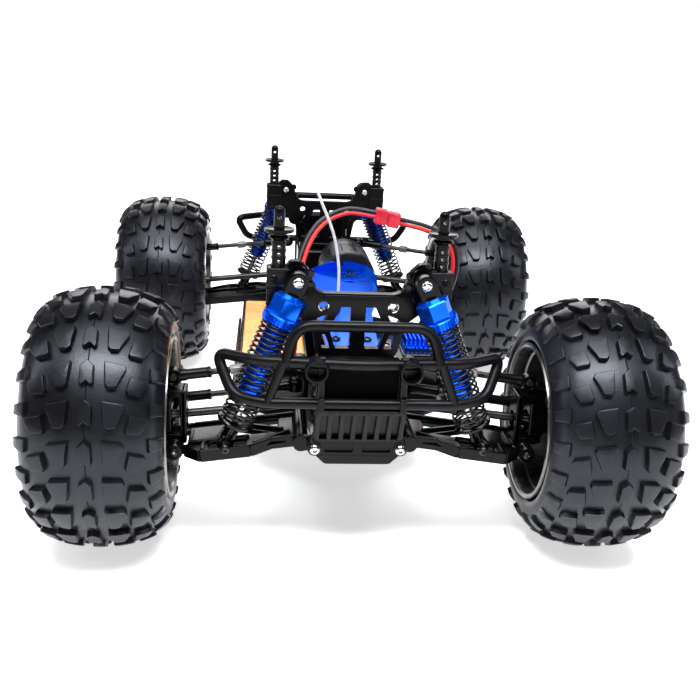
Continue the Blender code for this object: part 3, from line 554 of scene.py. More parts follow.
def bevelled(mesh, width=0.4):
    """The mesh with its sharp edges rounded off."""
    sharp = math.radians(40)
    bm = bmesh.new()
    bm.from_mesh(mesh)
    edges = [e for e in bm.edges if len(e.link_faces) == 2 and e.calc_face_angle(0) > sharp]
    bmesh.ops.bevel(bm, geom=edges, offset=width, segments=2, affect="EDGES", profile=0.5, clamp_overlap=True)
    return mesh_from(bm)


def plate(outline, low, high, matrix, holes=(), edge=0.5):
    """A flat plate with holes through it and rounded edges."""
    solid = prism(outline, low, high, matrix)
    if holes:
        solid = cut(solid, [prism(hole, low - 1, high + 1, matrix) for hole in holes])
    return bevelled(solid, edge) if edge else solid


# ---- wheels -------------------------------------------------------------------------------------------
PITCHES = 22
TREAD_PHASE = 0.38            # how far the tread is turned, in pitches
LUG_HEIGHT = 2.9
LUG_ROOT = -0.6               # how deep a lug starts in the carcass
CARCASS = [(0, 59.4), (6, 59.2), (11.4, 58.5), (16, 57.4), (21, 55.7), (24.5, 53.9), (27.6, 51.6),
           (29.8, 48.6), (31.0, 45.8), (31.4, 43.6), (31.1, 41.6), (30.2, 40.3), (29, 39.5)]
# each lug is an outline of (distance from the centre line, distance along the tread), with its height and its
# shift along the tread; each is also made on the other side
LUGS = [
    ([(6.8, 5.9), (15.2, 4.6), (15.9, 2.8), (12.2, -5.9), (9.0, -6.2), (7.7, -4.6)], LUG_HEIGHT, -0.6),
    ([(17.8, 4.4), (24.2, 2.6), (25.0, 0.8), (22.2, -4.4), (17.0, -3.9), (16.4, -2.6)], LUG_HEIGHT, -5.2),
    ([(26.2, 3.7), (34.0, 3.1), (34.6, -1.8), (33.8, -2.6), (27.2, -3.5), (26.4, -2.8)], 1.8, 1.6),
]
CHEVRON = [(0, 5.8), (2.7, 3.4), (2.9, -4.6), (2.1, -5.5), (0, -3.8), (-2.1, -5.5), (-2.9, -4.6), (-2.7, 3.4)]


def carcass_line():
    """The tread's section as dense points, each with its running length."""
    line = [Vector((p.x, p.y)) for p in smooth_path([(a, b, 0) for a, b in CARCASS], 8)]
    lengths = [0.0]
    for one, two in zip(line, line[1:]):
        lengths.append(lengths[-1] + (two - one).length)
    return line, lengths


LINE, LENGTHS = carcass_line()


def on_carcass(across, height):
    """A point of the section: its distance out from the wheel's middle and its radius."""
    reach = min(abs(across), LENGTHS[-1])
    i = next(i for i in range(1, len(LINE)) if LENGTHS[i] >= reach - 1e-9)
    share = (reach - LENGTHS[i - 1]) / (LENGTHS[i] - LENGTHS[i - 1])
    place = LINE[i - 1].lerp(LINE[i], share)
    slope = (LINE[i] - LINE[i - 1]).normalized()
    normal = Vector((-slope.y, slope.x))
    place = place + normal * height
    return (place.x if across >= 0 else -place.x), place.y


def lug(bm, outline, height, phase, mirror):
    """One tread block, its sides sloped and its top edge softened."""
    dense = []
    for one, two in zip(outline, outline[1:] + outline[:1]):
        steps = max(1, round(math.dist(one, two) / 3))
        for k in range(steps):
            dense.append(tuple(a + (b - a) * k / steps for a, b in zip(one, two)))
    centre = Vector([sum(values) / len(dense) for values in zip(*dense)])
    rings = []
    for level, pull in ((LUG_ROOT, -0.45), (height - 0.5, 0.0), (height - 0.15, 0.2), (height, 0.6)):
        ring = []
        for place in dense:
            away = Vector(place) - centre
            away -= away.normalized() * pull
            ring.append(tread_vert(bm, centre + away, level, phase, mirror))
        rings.append(ring)
    top = tread_vert(bm, centre, height, phase, mirror)
    bottom = tread_vert(bm, centre, LUG_ROOT, phase, mirror)
    for one, two in zip(rings, rings[1:]):
        bridge(bm, one, two)
    for i in range(len(dense)):
        j = (i + 1) % len(dense)
        bm.faces.new((rings[-1][i], rings[-1][j], top))
        bm.faces.new((rings[0][j], rings[0][i], bottom))


def tread_vert(bm, place, level, phase, mirror):
    """A vertex at a place (across, along) on the tread, at a height over it."""
    out, radius = on_carcass(place[0], level)
    angle = phase + place[1] / TYRE_RADIUS
    return bm.verts.new((out * mirror, -radius * math.cos(angle), radius * math.sin(angle)))


def tyre(end, side):
    """A tyre's carcass, with a fine line round its middle, and its tread blocks."""
    hub = Matrix.Translation(pivot(f"wheel_spin_{end}_{side}"))
    half = [(0, 59.85), (0.28, 59.4)] + [(p.x, p.y) for p in LINE[4::4]] + [(28.0, 39.5)]
    section = [(-a, b) for a, b in reversed(half[1:])] + half
    bm = bmesh.new()
    for pitch in range(PITCHES):
        phase = 2 * math.pi * (pitch + TREAD_PHASE) / PITCHES
        for outline, height, shift in LUGS:
            for mirror in (-1, 1):
                lug(bm, outline, height, phase + shift / TYRE_RADIUS, mirror)
        lug(bm, CHEVRON, LUG_HEIGHT, phase, 1)
    bm.transform(hub)
    solids = [turned(section, hub, steps=120, closed=True), mesh_from(bm)]
    add(f"tyre_{end}_{side}_tread", solids, RUBBER, f"wheel_{end}_{side}",
        f"tyre_{end}_{side}", sharp=32)


def rim(end, side):
    """A rim with its ribs and studs, the axle with its drive cup and nut, and the wheel hexagon."""
    body = f"wheel_{end}_{side}"
    placing = frame_at(pivot(f"wheel_spin_{end}_{side}"), (SIDES[side], 0, 0))
    r = RIM_RADIUS
    section = [(-31.5, r + 1.0), (-31.6, r - 0.2), (-31.0, r - 1.1), (-29.4, r - 1.5), (-24, r - 1.6),
               (-23.2, r - 2.4), (4, r - 2.8), (5, r - 3.4), (17, r - 3.6), (19.6, r - 5), (20.4, r - 9),
               (20.6, 18), (19.6, 12), (19.2, 7.6), (-12.4, 7.5), (-13, 6.9), (-13, 0), (24, 0), (24.4, 3.9),
               (25, 4.4), (25.2, 8.6), (25.8, 9.6), (26.0, 18), (26.6, r - 5), (28, r - 2.6), (30.6, r - 1.4),
               (31.6, r - 0.2), (31.5, r + 1.0), (30.6, r + 1.2), (29.4, r + 0.2), (-29.4, r + 0.2),
               (-30.6, r + 1.2)]
    solids = [turned(section, placing, steps=96, closed=True)]
    for i in range(RIM_RIBS):
        solids.append(block((25.0, -1.6, 9.5), (28.6, 1.6, r - 3.5), 1.0, placing @ wheel_turn(i, RIM_RIBS)))
    for i in range(RIM_STUDS):
        turn = placing @ wheel_turn(i + 0.5, RIM_STUDS)
        solids.append(rod(turn @ Vector((28.8, 0, 7.4)), turn @ Vector((24.8, 0, 7.4)), 1.0, sides=12))
    boss = [(24.8, 10.2), (27.4, 10.0), (28.2, 8.8), (27.6, 7.2), (24.8, 6.8)]
    solids.append(turned(boss, placing, closed=True))
    add(f"rim_{end}_{side}", solids, SILVER, body, f"wheel_rim_{end}_{side}", sharp=30)
    cup = [(-28, 0), (-28, 3.8), (-27.6, 5.2), (-22, 5.2), (-21.4, 4.6), (-21.2, 2.5), (-12.8, 2.5),
           (-12.8, 0)]
    steel = [turned(cup, placing, steps=32),
             prism(hexagon(3.9), 24.5, 28.4, placing @ ONTO_X, inset=0.5, edge=0.6),
             rod(placing @ Vector((24, 0, 0)), placing @ Vector((29.4, 0, 0)), 2.0, sides=20, bevel=0.3)]
    add(f"axle_{end}_{side}", steel, DARK_STEEL, body)
    hexes = prism(hexagon(8.2), -14.4, -12.2, placing @ ONTO_X, inset=0.4, edge=0.5)
    add(f"wheel_hex_{end}_{side}", hexes, BLUE, body)


# ---- shock absorbers ----------------------------------------------------------------------------------
# along a shock from the centre of its top stud
RIDGES, RIDGE_START, RIDGE_PITCH = 15, 21.5, 1.6
SPRING_START, SPRING_END = 21.9, 71.6
SPRING_RADIUS, SPRING_WIRE, SPRING_KEEP = 7.9, 0.6, 0.79
COIL_PITCHES = [0.5] + [0.85] * 8 + [1.0] * 8 + [0.7, 0.5]
COIL_POINTS = 20
EYE_RADIUS = 4.75


def shock_line(end, side):
    """The centres of a shock's top stud and of its lower ball."""
    y = AXLE[end] + OUTWARD[end] * SHOCK_OFFSET
    return [Vector((SIDES[side] * x, y, z)) for x, z in (SHOCK_TOP, SHOCK_FOOT)]


def knurled(matrix, low, high, radius, teeth, depth):
    """A short cylinder about the matrix's x axis with teeth round it."""
    outline = []
    for i in range(teeth):
        for share, r in ((0.0, radius - depth), (0.2, radius), (0.55, radius), (0.75, radius - depth)):
            a = 2 * math.pi * (i + share) / teeth
            outline.append((r * math.cos(a), r * math.sin(a)))
    return prism(outline, low, high, matrix @ ONTO_X, inset=0.5, edge=0.5)


def shock_cylinder(corner, placing):
    """The blue cylinder with its ridges, its cap with a lip and a cone, and its knurled collar."""
    ridged = [(20.5, 0), (20.5, 5.5)]
    for i in range(RIDGES):
        at = RIDGE_START + i * RIDGE_PITCH
        ridged += [(at, 5.1), (at + 0.35, 5.6), (at + 0.85, 5.6), (at + 1.2, 5.1)]
    ridged += [(46, 4.9), (46.6, 5.6), (49.6, 5.6), (50.0, 4.8), (51.2, 4.8), (51.6, 5.6), (53.8, 5.6),
               (54.2, 4.7), (55.2, 4.7), (55.5, 5.5), (57.2, 5.5), (58, 4.6), (58, 2.4), (50, 2.4), (50, 0)]
    cone = [(6.2, 0), (6.2, 4.2), (8.6, 7.4), (8.9, 7.4), (8.9, 0)]
    lip = [(16.6, 0), (16.6, 9.0), (16.9, 9.3), (17.7, 9.3), (17.9, 8.5), (17.9, 0)]
    solids = [turned(ridged, placing, steps=40), turned(cone, placing, steps=40),
              prism(hexagon(8.1, 0.2), -16.8, -8.0, placing @ Matrix.Rotation(-math.pi / 2, 4, "Y"),
                    inset=0.4, edge=0.4),
              turned(lip, placing, steps=60),
              knurled(placing, 17.8, 21.2, 9.2, 36, 0.7)]
    add(f"shock_cylinder_{corner}", solids, BLUE, f"shock_{corner}",
        f"shock_body_{corner}", sharp=28)


def shock_eye(corner, top, along):
    """The black link at the top, with its hole for the stud."""
    arc = [math.pi * (0.5 + i / 16) for i in range(17)]
    outline = [(EYE_RADIUS * math.cos(a), EYE_RADIUS * math.sin(a)) for a in arc]
    outline += [(7.0, -EYE_RADIUS), (7.0, EYE_RADIUS)]
    flat = Matrix((along, along.cross(Y), Y)).transposed().to_4x4()
    link = plate(outline, -3.1, 3.1, Matrix.Translation(top) @ flat, [circle(0, 0, 2.0, 24)], edge=0.7)
    neck = [(5.4, 0), (5.4, 4.1), (6.6, 4.6), (6.9, 4.6), (6.9, 0)]
    add(f"shock_eye_{corner}", [link, turned(neck, frame_at(top, along), steps=32)], SATIN_PLASTIC,
        f"shock_{corner}")


def shock_spring(corner, placing):
    """The coil spring, wound closer at its ends."""
    unit = (SPRING_END - SPRING_START) / sum(COIL_PITCHES)
    helix = []
    run = SPRING_START
    for pitch in COIL_PITCHES:
        for i, (y, z) in enumerate(circle(0, 0, SPRING_RADIUS, COIL_POINTS)):
            helix.append(placing @ Vector((run + unit * pitch * i / COIL_POINTS, y, z)))
        run += unit * pitch
    spring = add(f"coil_spring_{corner}", tube(helix, SPRING_WIRE, resolution=3), BLACK_CHROME,
                 f"shock_{corner}", f"shock_spring_{corner}", sharp=80)
    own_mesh(spring)


def shock(end, side):
    """One shock absorber: cylinder, eye and spring on one body, piston rod, cup and ball on the other."""
    corner = f"{end}_{side}"
    top, foot = shock_line(end, side)
    placing = frame_at(top, foot - top)
    along = (foot - top).normalized()
    length = (foot - top).length
    shock_cylinder(corner, placing)
    shock_eye(corner, top, along)
    shock_spring(corner, placing)
    body = f"shock_rod_{corner}"
    add(f"piston_rod_{corner}", rod(top + along * 44, foot - along * 5, 1.7, sides=20), BRIGHT, body,
        f"shock_shaft_{corner}")
    cup = [(72.4, 0), (72.4, 6.2), (73.0, 6.4), (73.0, 8.5), (73.4, 8.8), (74.4, 8.8), (75.0, 8.2),
           (75.6, 4.6), (77.0, 3.6), (length - 2.5, 3.3), (length - 2.5, 0)]
    black = [turned(cup, placing, steps=40), collar(foot, Y, -3.2, 3.2, 2.2, 4.2, (0.6, 0.5))]
    add(f"spring_cup_{corner}", black, GLOSS_PLASTIC, body)
    section = [(-3.4, 1.6), (-3.4, 2.1), (0, 2.6), (3.4, 2.1), (3.4, 1.6)]
    add(f"shock_ball_{corner}", turned(section, frame_at(foot, Y), steps=20, closed=True), BRIGHT, body)


# ---- suspension arms, links and hubs ------------------------------------------------------------------
def outer_pin(end, side):
    """The centre of the pin at a lower arm's outer end."""
    across, down = ARM_REACH[end]
    return Vector((SIDES[side] * (ARM_INNER[0] + across), AXLE[end], ARM_INNER[1] + down))


SHOCK_U = math.hypot(SHOCK_FOOT[0] - ARM_INNER[0], ARM_INNER[1] - SHOCK_FOOT[1])
BAY_FRONT, BAY_BACK = SHOCK_OFFSET + 4.8, SHOCK_OFFSET - 4.8       # the window that the shock stands in
FORK_IN, FORK_OUT = 8.3, 13.5


def arm_plan(length):
    """A lower arm's outline, windows and rails, as points (along from the hinge, outwards from the axle)."""
    half, edge, line = ARM_HALF_LENGTH, ARM_HALF_LENGTH - 0.5, ARM_HALF_LENGTH - 1.3
    outline = [(0, edge), (14, edge), (24, BAY_FRONT + 3.3), (SHOCK_U + 12, BAY_FRONT + 3.3),
               (length - 5, FORK_OUT - 0.2), (length + 3, FORK_OUT - 0.2), (length + 3, FORK_IN + 0.2),
               (length - 6.3, FORK_IN + 0.2), (length - 6.3, -FORK_IN - 0.2), (length + 3, -FORK_IN - 0.2),
               (length + 3, 0.2 - FORK_OUT), (length - 8, -edge), (0, -edge)]
    windows = [
        [(SHOCK_U - 10, BAY_FRONT), (SHOCK_U + 9, BAY_FRONT), (SHOCK_U + 9, BAY_BACK),
         (SHOCK_U - 10, BAY_BACK)],
        [(7, BAY_FRONT - 3), (SHOCK_U - 13, BAY_FRONT - 1.5), (7, BAY_BACK - 2)],
        [(10, 4 - half), (SHOCK_U - 4, 4 - half), (10, BAY_BACK - 7)],
        [(14, BAY_BACK - 4), (SHOCK_U + 6, BAY_BACK - 3.5), (SHOCK_U + 2, 6 - half)],
    ]
    rails = [((2, line), (14, line)), ((14, line), (24, BAY_FRONT + 2.5)),
             ((24, BAY_FRONT + 2.5), (SHOCK_U + 12, BAY_FRONT + 2.5)),
             ((SHOCK_U + 12, BAY_FRONT + 2.5), (length - 5, FORK_OUT - 1)),
             ((2, -line), (length - 8, -line)), ((length - 8, -line), (length, 1 - FORK_OUT)),
             ((5, BAY_BACK - 2), (SHOCK_U - 13, BAY_FRONT - 1.5)),
             ((8, BAY_BACK - 5), (SHOCK_U - 2, 5 - half)),
             ((SHOCK_U - 11, BAY_BACK - 1), (length - 7, BAY_BACK - 1)),
             ((SHOCK_U + 11, BAY_FRONT), (SHOCK_U + 11, BAY_BACK)),
             ((length - 7.5, -FORK_IN), (length - 7.5, FORK_IN))]
    return rounded(outline, 1.5, 3), [rounded(window, 1.6, 3) for window in windows], rails


def lower_arm(end, side):
    """A trussed arm: a thin web with windows, upright rails round them, hinge barrel and fork."""
    across, down = ARM_REACH[end]
    length = math.hypot(across, down)
    direction = Vector((SIDES[side] * across, 0, down)).normalized()
    outward = Y * OUTWARD[end]
    hinge = Vector((SIDES[side] * ARM_INNER[0], AXLE[end], ARM_INNER[1]))
    axes = Matrix((direction, outward, direction.cross(outward))).transposed()
    placing = Matrix.Translation(hinge) @ axes.to_4x4()
    outline, windows, rails = arm_plan(length)
    solids = [plate(outline, -1.4, 1.4, placing, windows, edge=0.35)]
    for window in windows:
        solids.append(tube([placing @ Vector((*p, 0)) for p in window], 0.9, 2, cyclic=True))
    for i, ends in enumerate(rails):
        start, stop = [placing @ Vector((*p, 0)) for p in ends]
        solids.append(beam(start, stop, 2.0, 5.9 - 0.04 * i, upward=axes.col[2], bevel=0.5))
    solids.append(collar(hinge, Y, -ARM_HALF_LENGTH, ARM_HALF_LENGTH, 1.9, 3.8, (0.5, 0.5)))
    tip = placing @ Vector((length, 0, 0))
    for low, high in ((-FORK_OUT, -FORK_IN), (FORK_IN, FORK_OUT)):
        solids.append(collar(tip, outward, low, high, 1.9, 4.2, (0.4, 0.4)))
    body = f"arm_{end}_{side}"
    add(f"a_arm_{end}_{side}", solids, SATIN_PLASTIC, body, f"lower_arm_{end}_{side}")
    foot = shock_line(end, side)[1]
    steel = [screw_head(foot + outward * 8.2, outward, 2.4, 1.6),
             rod(foot - outward * 6.6, foot + outward * 8, 1.4, sides=16)]
    for out in (-1, 1):
        steel.append(screw_head(tip + outward * out * (FORK_OUT + 0.2), outward * out, 1.9, 1.0))
    add(f"arm_screws_{end}_{side}", steel, DARK_STEEL, body)


def turnbuckle(name, inner, outer, eye_axis, body, node):
    """A threaded rod with a hexagon in its middle and a plastic rod end on a steel ball at each end."""
    along = (outer - inner).normalized()
    length = (outer - inner).length
    placing = frame_at(inner, along)
    margin, pitch = 12, 0.7
    thread = [(margin, 0)]
    for i in range(int((length - 2 * margin) / pitch)):
        at = margin + i * pitch
        thread += [(at, 1.75), (at + pitch / 2, 1.45)]
    thread.append((length - margin, 0))
    nut = prism(hexagon(2.7), length / 2 - 3, length / 2 + 3, placing @ ONTO_X)
    steel = [turned(thread, placing, steps=16), bevelled(nut, 0.3)]
    add(f"{name}_rod", steel, ROD_STEEL, body, node)
    sleeve = [(2.5, 0), (2.5, 3.0), (5.5, 3.0), (6.5, 2.6), (16.4, 2.6), (17.0, 2.9), (18.0, 2.6), (18.0, 0)]
    ring = [(-2.6, 2.9), (-3.0, 3.4), (-2.6, 4.0), (2.6, 4.0), (3.0, 3.4), (2.6, 2.9)]
    ends, balls = [], []
    for place, way in ((inner, along), (outer, -along)):
        ends.append(turned(sleeve, frame_at(place, way), steps=20))
        ends.append(turned(ring, frame_at(place, eye_axis), steps=28, closed=True))
        balls.append(ball(place, 2.95))
        balls.append(pin(place, eye_axis, 3.3, 1.6, sides=6))
        balls.append(screw_head(place + eye_axis * 3.0, eye_axis, 2.0, 1.2))
    add(f"{name}_ends", ends, SATIN_PLASTIC, body)
    add(f"{name}_balls", balls, DARK_STEEL, body)


def upper_link(end, side):
    """The link over a lower arm, parallel to it."""
    inner = Vector((SIDES[side] * LINK_INNER[end][0], AXLE[end], LINK_INNER[end][1]))
    outer = inner + Vector((SIDES[side] * ARM_REACH[end][0], 0, ARM_REACH[end][1]))
    turnbuckle(f"link_{end}_{side}", inner, outer, Y, f"link_{end}_{side}", f"upper_link_{end}_{side}")


def hub_barrel(centre):
    """The barrel of a hub that turns on the pin at the arm's outer end."""
    return collar(centre, Y, -7.9, 7.9, 1.8, 4.2)


def stub_block(side, axle, inner, outer, half_y, low, high, bevel, pockets=()):
    """A hub's block, bored for the wheel's axle."""
    sign = SIDES[side]
    bore = rod((sign * 84, axle, TYRE_RADIUS), (sign * 98, axle, TYRE_RADIUS), STUB_BORE, sides=32)
    solid = block((sign * inner, axle - half_y, low), (sign * outer, axle + half_y, high), bevel)
    return cut(solid, [bore, *pockets])


def hub_carrier(side):
    """The C-shaped carrier that a front steering knuckle turns in."""
    sign, axle = SIDES[side], AXLE["front"]
    centre = outer_pin("front", side)
    body = f"hub_front_{side}"
    wall = block((sign * 80.5, axle - 6.2, 50.5), (sign * 83.4, axle + 6.2, 77.5), 0.8)
    solids = [cut(wall, [rod((sign * 79, axle, 62.6), (sign * 86, axle, 62.6), 5.0, sides=32)])]
    for low, high in ((51.5, 55.2), (73.8, 77.5)):
        solids.append(block((sign * 81, axle - 6, low), (sign * 92, axle + 6, high), 0.8))
        solids.append(collar((sign * KINGPIN_X, axle, 0), Z, low, high, 1.8, 4.6, (0, 0)))
    for out in (-1, 1):
        x, y = sign * 82, axle + out * 5.2
        solids.append(beam((x, y, 51), (x, y, 77), 2, 3.2, upward=X))
    solids.append(hub_barrel(centre))
    add(f"c_hub_{side}", solids, SATIN_PLASTIC, body, f"hub_carrier_front_{side}")
    add(f"c_hub_pin_{side}", pin(centre, Y, PIN_REACH, PIN_RADIUS), BRIGHT, body)


def knuckle(side):
    """A front steering knuckle with its steering arm, and the kingpin."""
    sign, axle = SIDES[side], AXLE["front"]
    body = f"knuckle_{side}"
    section = [(89, 5.8), (89, 6.6), (104.4, 6.6), (105, 6.0), (105, 3.0), (98, 3.0), (98, 5.8)]
    boss = turned(section, frame_at((0, axle, TYRE_RADIUS), (sign, 0, 0)), steps=40, closed=True)
    arm_end = Vector((sign * (KINGPIN_X - 3.0), axle + STEER_ARM, 59.9))
    arm = beam((arm_end.x + sign, axle + 4, arm_end.z), arm_end + X * sign * 0.5, 6.0, 4.4, bevel=0.8)
    solids = [stub_block(side, axle, 87.5, 95.5, 6, 55.8, 73.2, 1.0), boss, arm,
              pin(arm_end, Z, 2.2, 3.4, sides=24, bevel=0.4)]
    add(f"steering_block_{side}", solids, SATIN_PLASTIC, body, f"steering_knuckle_{side}")
    kingpin = Vector((sign * KINGPIN_X, axle, 0))
    steel = [rod(kingpin + Z * 52, kingpin + Z * 77, PIN_RADIUS, sides=16),
             screw_head(arm_end - Z * 2.1, -Z, 2.4, 1.3)]
    add(f"kingpin_{side}", steel, BRIGHT, body)


def rear_upright(side):
    """A rear hub with its boss, barrel and pin."""
    sign, axle = SIDES[side], AXLE["rear"]
    body = f"hub_rear_{side}"
    centre = outer_pin("rear", side)
    pocket = block((sign * 96 - 6, axle - 4.5, 76.5), (sign * 96 + 6, axle + 4.5, 79.5), 0.8)
    core = stub_block(side, axle, 91, 101, 7.5, 50, 82, 1.6, [pocket])
    section = [(89, 5.8), (89, 8.6), (89.6, 9.2), (104.4, 9.2), (105, 8.6), (105, 3.0), (98, 3.0), (98, 5.8)]
    boss = turned(section, frame_at((0, axle, TYRE_RADIUS), (sign, 0, 0)), steps=40, closed=True)
    add(f"rear_hub_{side}", [core, boss, hub_barrel(centre)], SATIN_PLASTIC, body,
        f"upright_rear_{side}")
    add(f"rear_hub_pin_{side}", pin(centre, Y, PIN_REACH, PIN_RADIUS), BRIGHT, body)


def dogbone(end, side):
    """A half shaft with a ball and a cross pin at each end."""
    inner, outer = [Vector((SIDES[side] * x, AXLE[end], z)) for x, z in (SHAFT_INNER, SHAFT_OUTER)]
    way = (outer - inner).normalized()
    solids = [rod(inner, outer, 2.1, sides=20), ball(inner, 3.1), ball(outer, 3.1)]
    solids += [pin(place, Y, 3.9, 0.9, sides=12) for place in (inner, outer)]
    for place, inward in ((inner, way), (outer, -way)):
        solids.append(rod(place + inward * 2.2, place + inward * 6, 2.9, 2.1, sides=20))
    add(f"dogbone_{end}_{side}", solids, DARK_STEEL, f"half_shaft_{end}_{side}",
        f"drive_shaft_{end}_{side}")


# ---- bumpers, towers and body posts -------------------------------------------------------------------
REAR_BUMPER_RISE = 6.0
BUMPER_TUBE = 2.55
GUARD_HALF, GUARD_RIBS = 20.3, 8
TOWER_HALF = [(0, 126), (17, 126), (20.5, 127.5), (24, 137), (28, 141), (33, 141), (36, 137), (43.5, 137),
              (43.5, 120.5), (30, 117), (22.5, 111), (20, 98), (17, 92.6), (0, 92.6)]
TOWER_WINDOWS = [
    [(3.6, 99), (3.6, 119.5), (8.2, 119.5), (13.4, 108.5), (10.6, 99)],
    [(14.2, 115.8), (20.2, 113.6), (17.9, 108.8)],
    [(12.8, 99), (15.6, 106), (17.2, 106), (17.2, 99)],
]
EYELET = (16.6, 119.8)
POST_RINGS, POST_HOLES = (138.6, 142.1, 145.5, 149.0), (140.4, 143.8, 147.2, 161)


def bumper_tubes(at):
    """The loop and the hoop over it."""
    loop = [at(-66, 157, 102), at(-48, 170, 102.5), at(0, 176, 103), at(48, 170, 102.5), at(66, 157, 102),
            at(58, 168, 85), at(44, 174, 84), at(-44, 174, 84), at(-58, 168, 85)]
    hoop = [at(-35, 172.5, 101), at(-30.5, 170, 119), at(30.5, 170, 119), at(35, 172.5, 101)]
    return [tube(rounded_path(loop, 7, 8, cyclic=True), BUMPER_TUBE, 6, cyclic=True),
            tube(rounded_path(hoop, 9, 10), BUMPER_TUBE, 6)]


def bumper_guard(at, sideways):
    """The sloping guard: a plate with upright ribs, and a rail along its foot and its top."""
    section = [(160, 63), (164.6, 62.4), (173.2, 80.8), (170, 84)]
    solids = [plate(rounded(section, 1.0), -GUARD_HALF, GUARD_HALF, sideways, edge=0.6)]
    low, high = at(0, 166.2, 62.6), at(0, 175.2, 80.4)
    slope = (high - low).normalized()
    normal = slope.cross(X)
    if normal.y * high.y < 0:
        normal = -normal
    for i in range(GUARD_RIBS):
        shift = X * (1 - GUARD_HALF + i * 5.51) - normal * 0.75
        solids.append(beam(low + shift, high + shift, 2.4, 3.4, upward=normal))
    for place in (low + slope * 0.9, high - slope * 0.4):
        place -= normal * 0.8
        left, right = place - X * GUARD_HALF, place + X * GUARD_HALF
        solids.append(beam(left, right, 2.4, 3.2, upward=normal, bevel=0.6))
    return solids


def bumper_skid(at, upright):
    """The skid plate under the guard, with its two slots and its lip."""
    outline = [(-21.2, 64), (-21.2, 56.4), (-15.5, 50.9), (15.5, 50.9), (21.2, 56.4), (21.2, 64)]
    face = [(x * 0.985, z) for x, z in outline]
    slots = [rounded([(s * 2.2, 57.2), (s * 15.4, 57.2), (s * 15.4, 59.9), (s * 2.2, 59.9)], 1.0)
             for s in (-1, 1)]
    return [plate(rounded(outline, 1.2), 158.6, 165.4, upright),
            plate(rounded(face, 1.2), 165.0, 166.7, upright, slots),
            block(at(-17.5, 165.5, 54.6), at(17.5, 166.95, 55.5), 0.3)]


def bumper(end):
    """A moulded tube bumper: loop, hoop, struts, lamp cups on straps, panel, ribbed guard and skid."""
    way = OUTWARD[end]
    forward = Y * way
    rise = 0.0 if end == "front" else REAR_BUMPER_RISE

    def at(x, ahead, z):
        return Vector((x, way * ahead, z + rise))

    upright = Matrix(((1, 0, 0, 0), (0, 0, way, 0), (0, 1, 0, rise), (0, 0, 0, 1)))
    sideways = Matrix(((0, 0, 1, 0), (way, 0, 0, 0), (0, 1, 0, rise), (0, 0, 0, 1)))
    cup = [(-0.2, 0), (-0.2, 4.6), (0.4, 5.3), (7.4, 5.35), (8.0, 4.95), (8.0, 4.4), (1.6, 4.0), (1.6, 0)]
    strap = [(170.8, 80.2), (177.0, 80.2), (177.2, 81.6), (177.0, 87.0), (175.0, 88.0), (174.6, 97),
             (175.6, 105.6), (174.6, 106.4), (171.4, 105.6), (170.8, 104)]
    solids = bumper_tubes(at)
    steel = []
    for side in (-1, 1):
        middle = side * 18.5
        solids += [rod(at(side * 35.5, 173, 103), at(side * 42.5, 174, 84), 2.15),
                   turned(cup, frame_at(at(side * 21, 171.5, 100.5), forward), steps=40),
                   plate(strap, middle - 1.5, middle + 1.5, sideways, edge=0.4),
                   block(at(middle - 1.4, 171.0, 104.5), at(middle + 1.4, 168.4, 101.5), 0.5),
                   rod(at(side * 20, 160, 58.6), at(side * 20, 167.2, 58.6), 3.4, sides=28, bevel=0.4)]
        steel.append(screw_head(at(side * 20, 166.9, 58.6), forward, 2.7, 1.7))
    solids += bumper_guard(at, sideways) + bumper_skid(at, upright)
    # the panel's darker, almost unreflecting black is painted shade of its recess
    panel = plate(rounded([(-17, 82), (17, 82), (17, 104), (-17, 104)], 1.5), 166, 170.5, upright, edge=0.6)
    add(f"{end}_bumper_panel", panel, MATT_SHADE_PLASTIC, "chassis")
    add(f"{end}_crash_bar", solids, PLASTIC, "chassis", f"{end}_bumper")
    add(f"{end}_bumper_screws", steel, BRIGHT, "chassis")


def tower_plate(y, forward):
    """The tower's plate with its windows, its foot and a thin bar across its front."""
    windows = []
    for side in (-1, 1):
        for window in TOWER_WINDOWS:
            windows.append(rounded([(side * x, z) for x, z in window], 0.8, 3))
        windows.append(circle(side * EYELET[0], EYELET[1], 1.9, 20))
    bar_end = Vector((16.5, y, 124.4)) + forward * 2.7
    placing = Matrix.Translation((0, y, 0)) @ XZ_PLANE
    return [plate(rounded(mirrored(TOWER_HALF), 1.2, 3), -2.4, 2.4, placing, windows, edge=0.6),
            block((-18, y - 7.5, 91.9), (18, y + 7.5, 95.4), 0.8),
            beam(bar_end - X * 33, bar_end, 2.0, 1.3, upward=forward, bevel=0.4)]


def post_socket(x, y):
    """The ribbed socket that a body post stands in."""
    floor, rim = (x, y, 124), (x, y, 140)
    socket = block((x - 5.4, y - 4.9, 119.2), (x + 5.4, y + 4.9, 138), 1.0)
    solids = [cut(socket, [rod(floor, rim, 3.95, sides=32)])]
    for z in (121, 129, 136.6):
        rib = block((x - 5.6, y - 5.0, z - 0.9), (x + 5.6, y + 5.0, z + 0.9), 0.4)
        if z > floor[2]:
            rib = cut(rib, [rod(floor, rim, 4.05, sides=32)])
        solids.append(rib)
    return solids


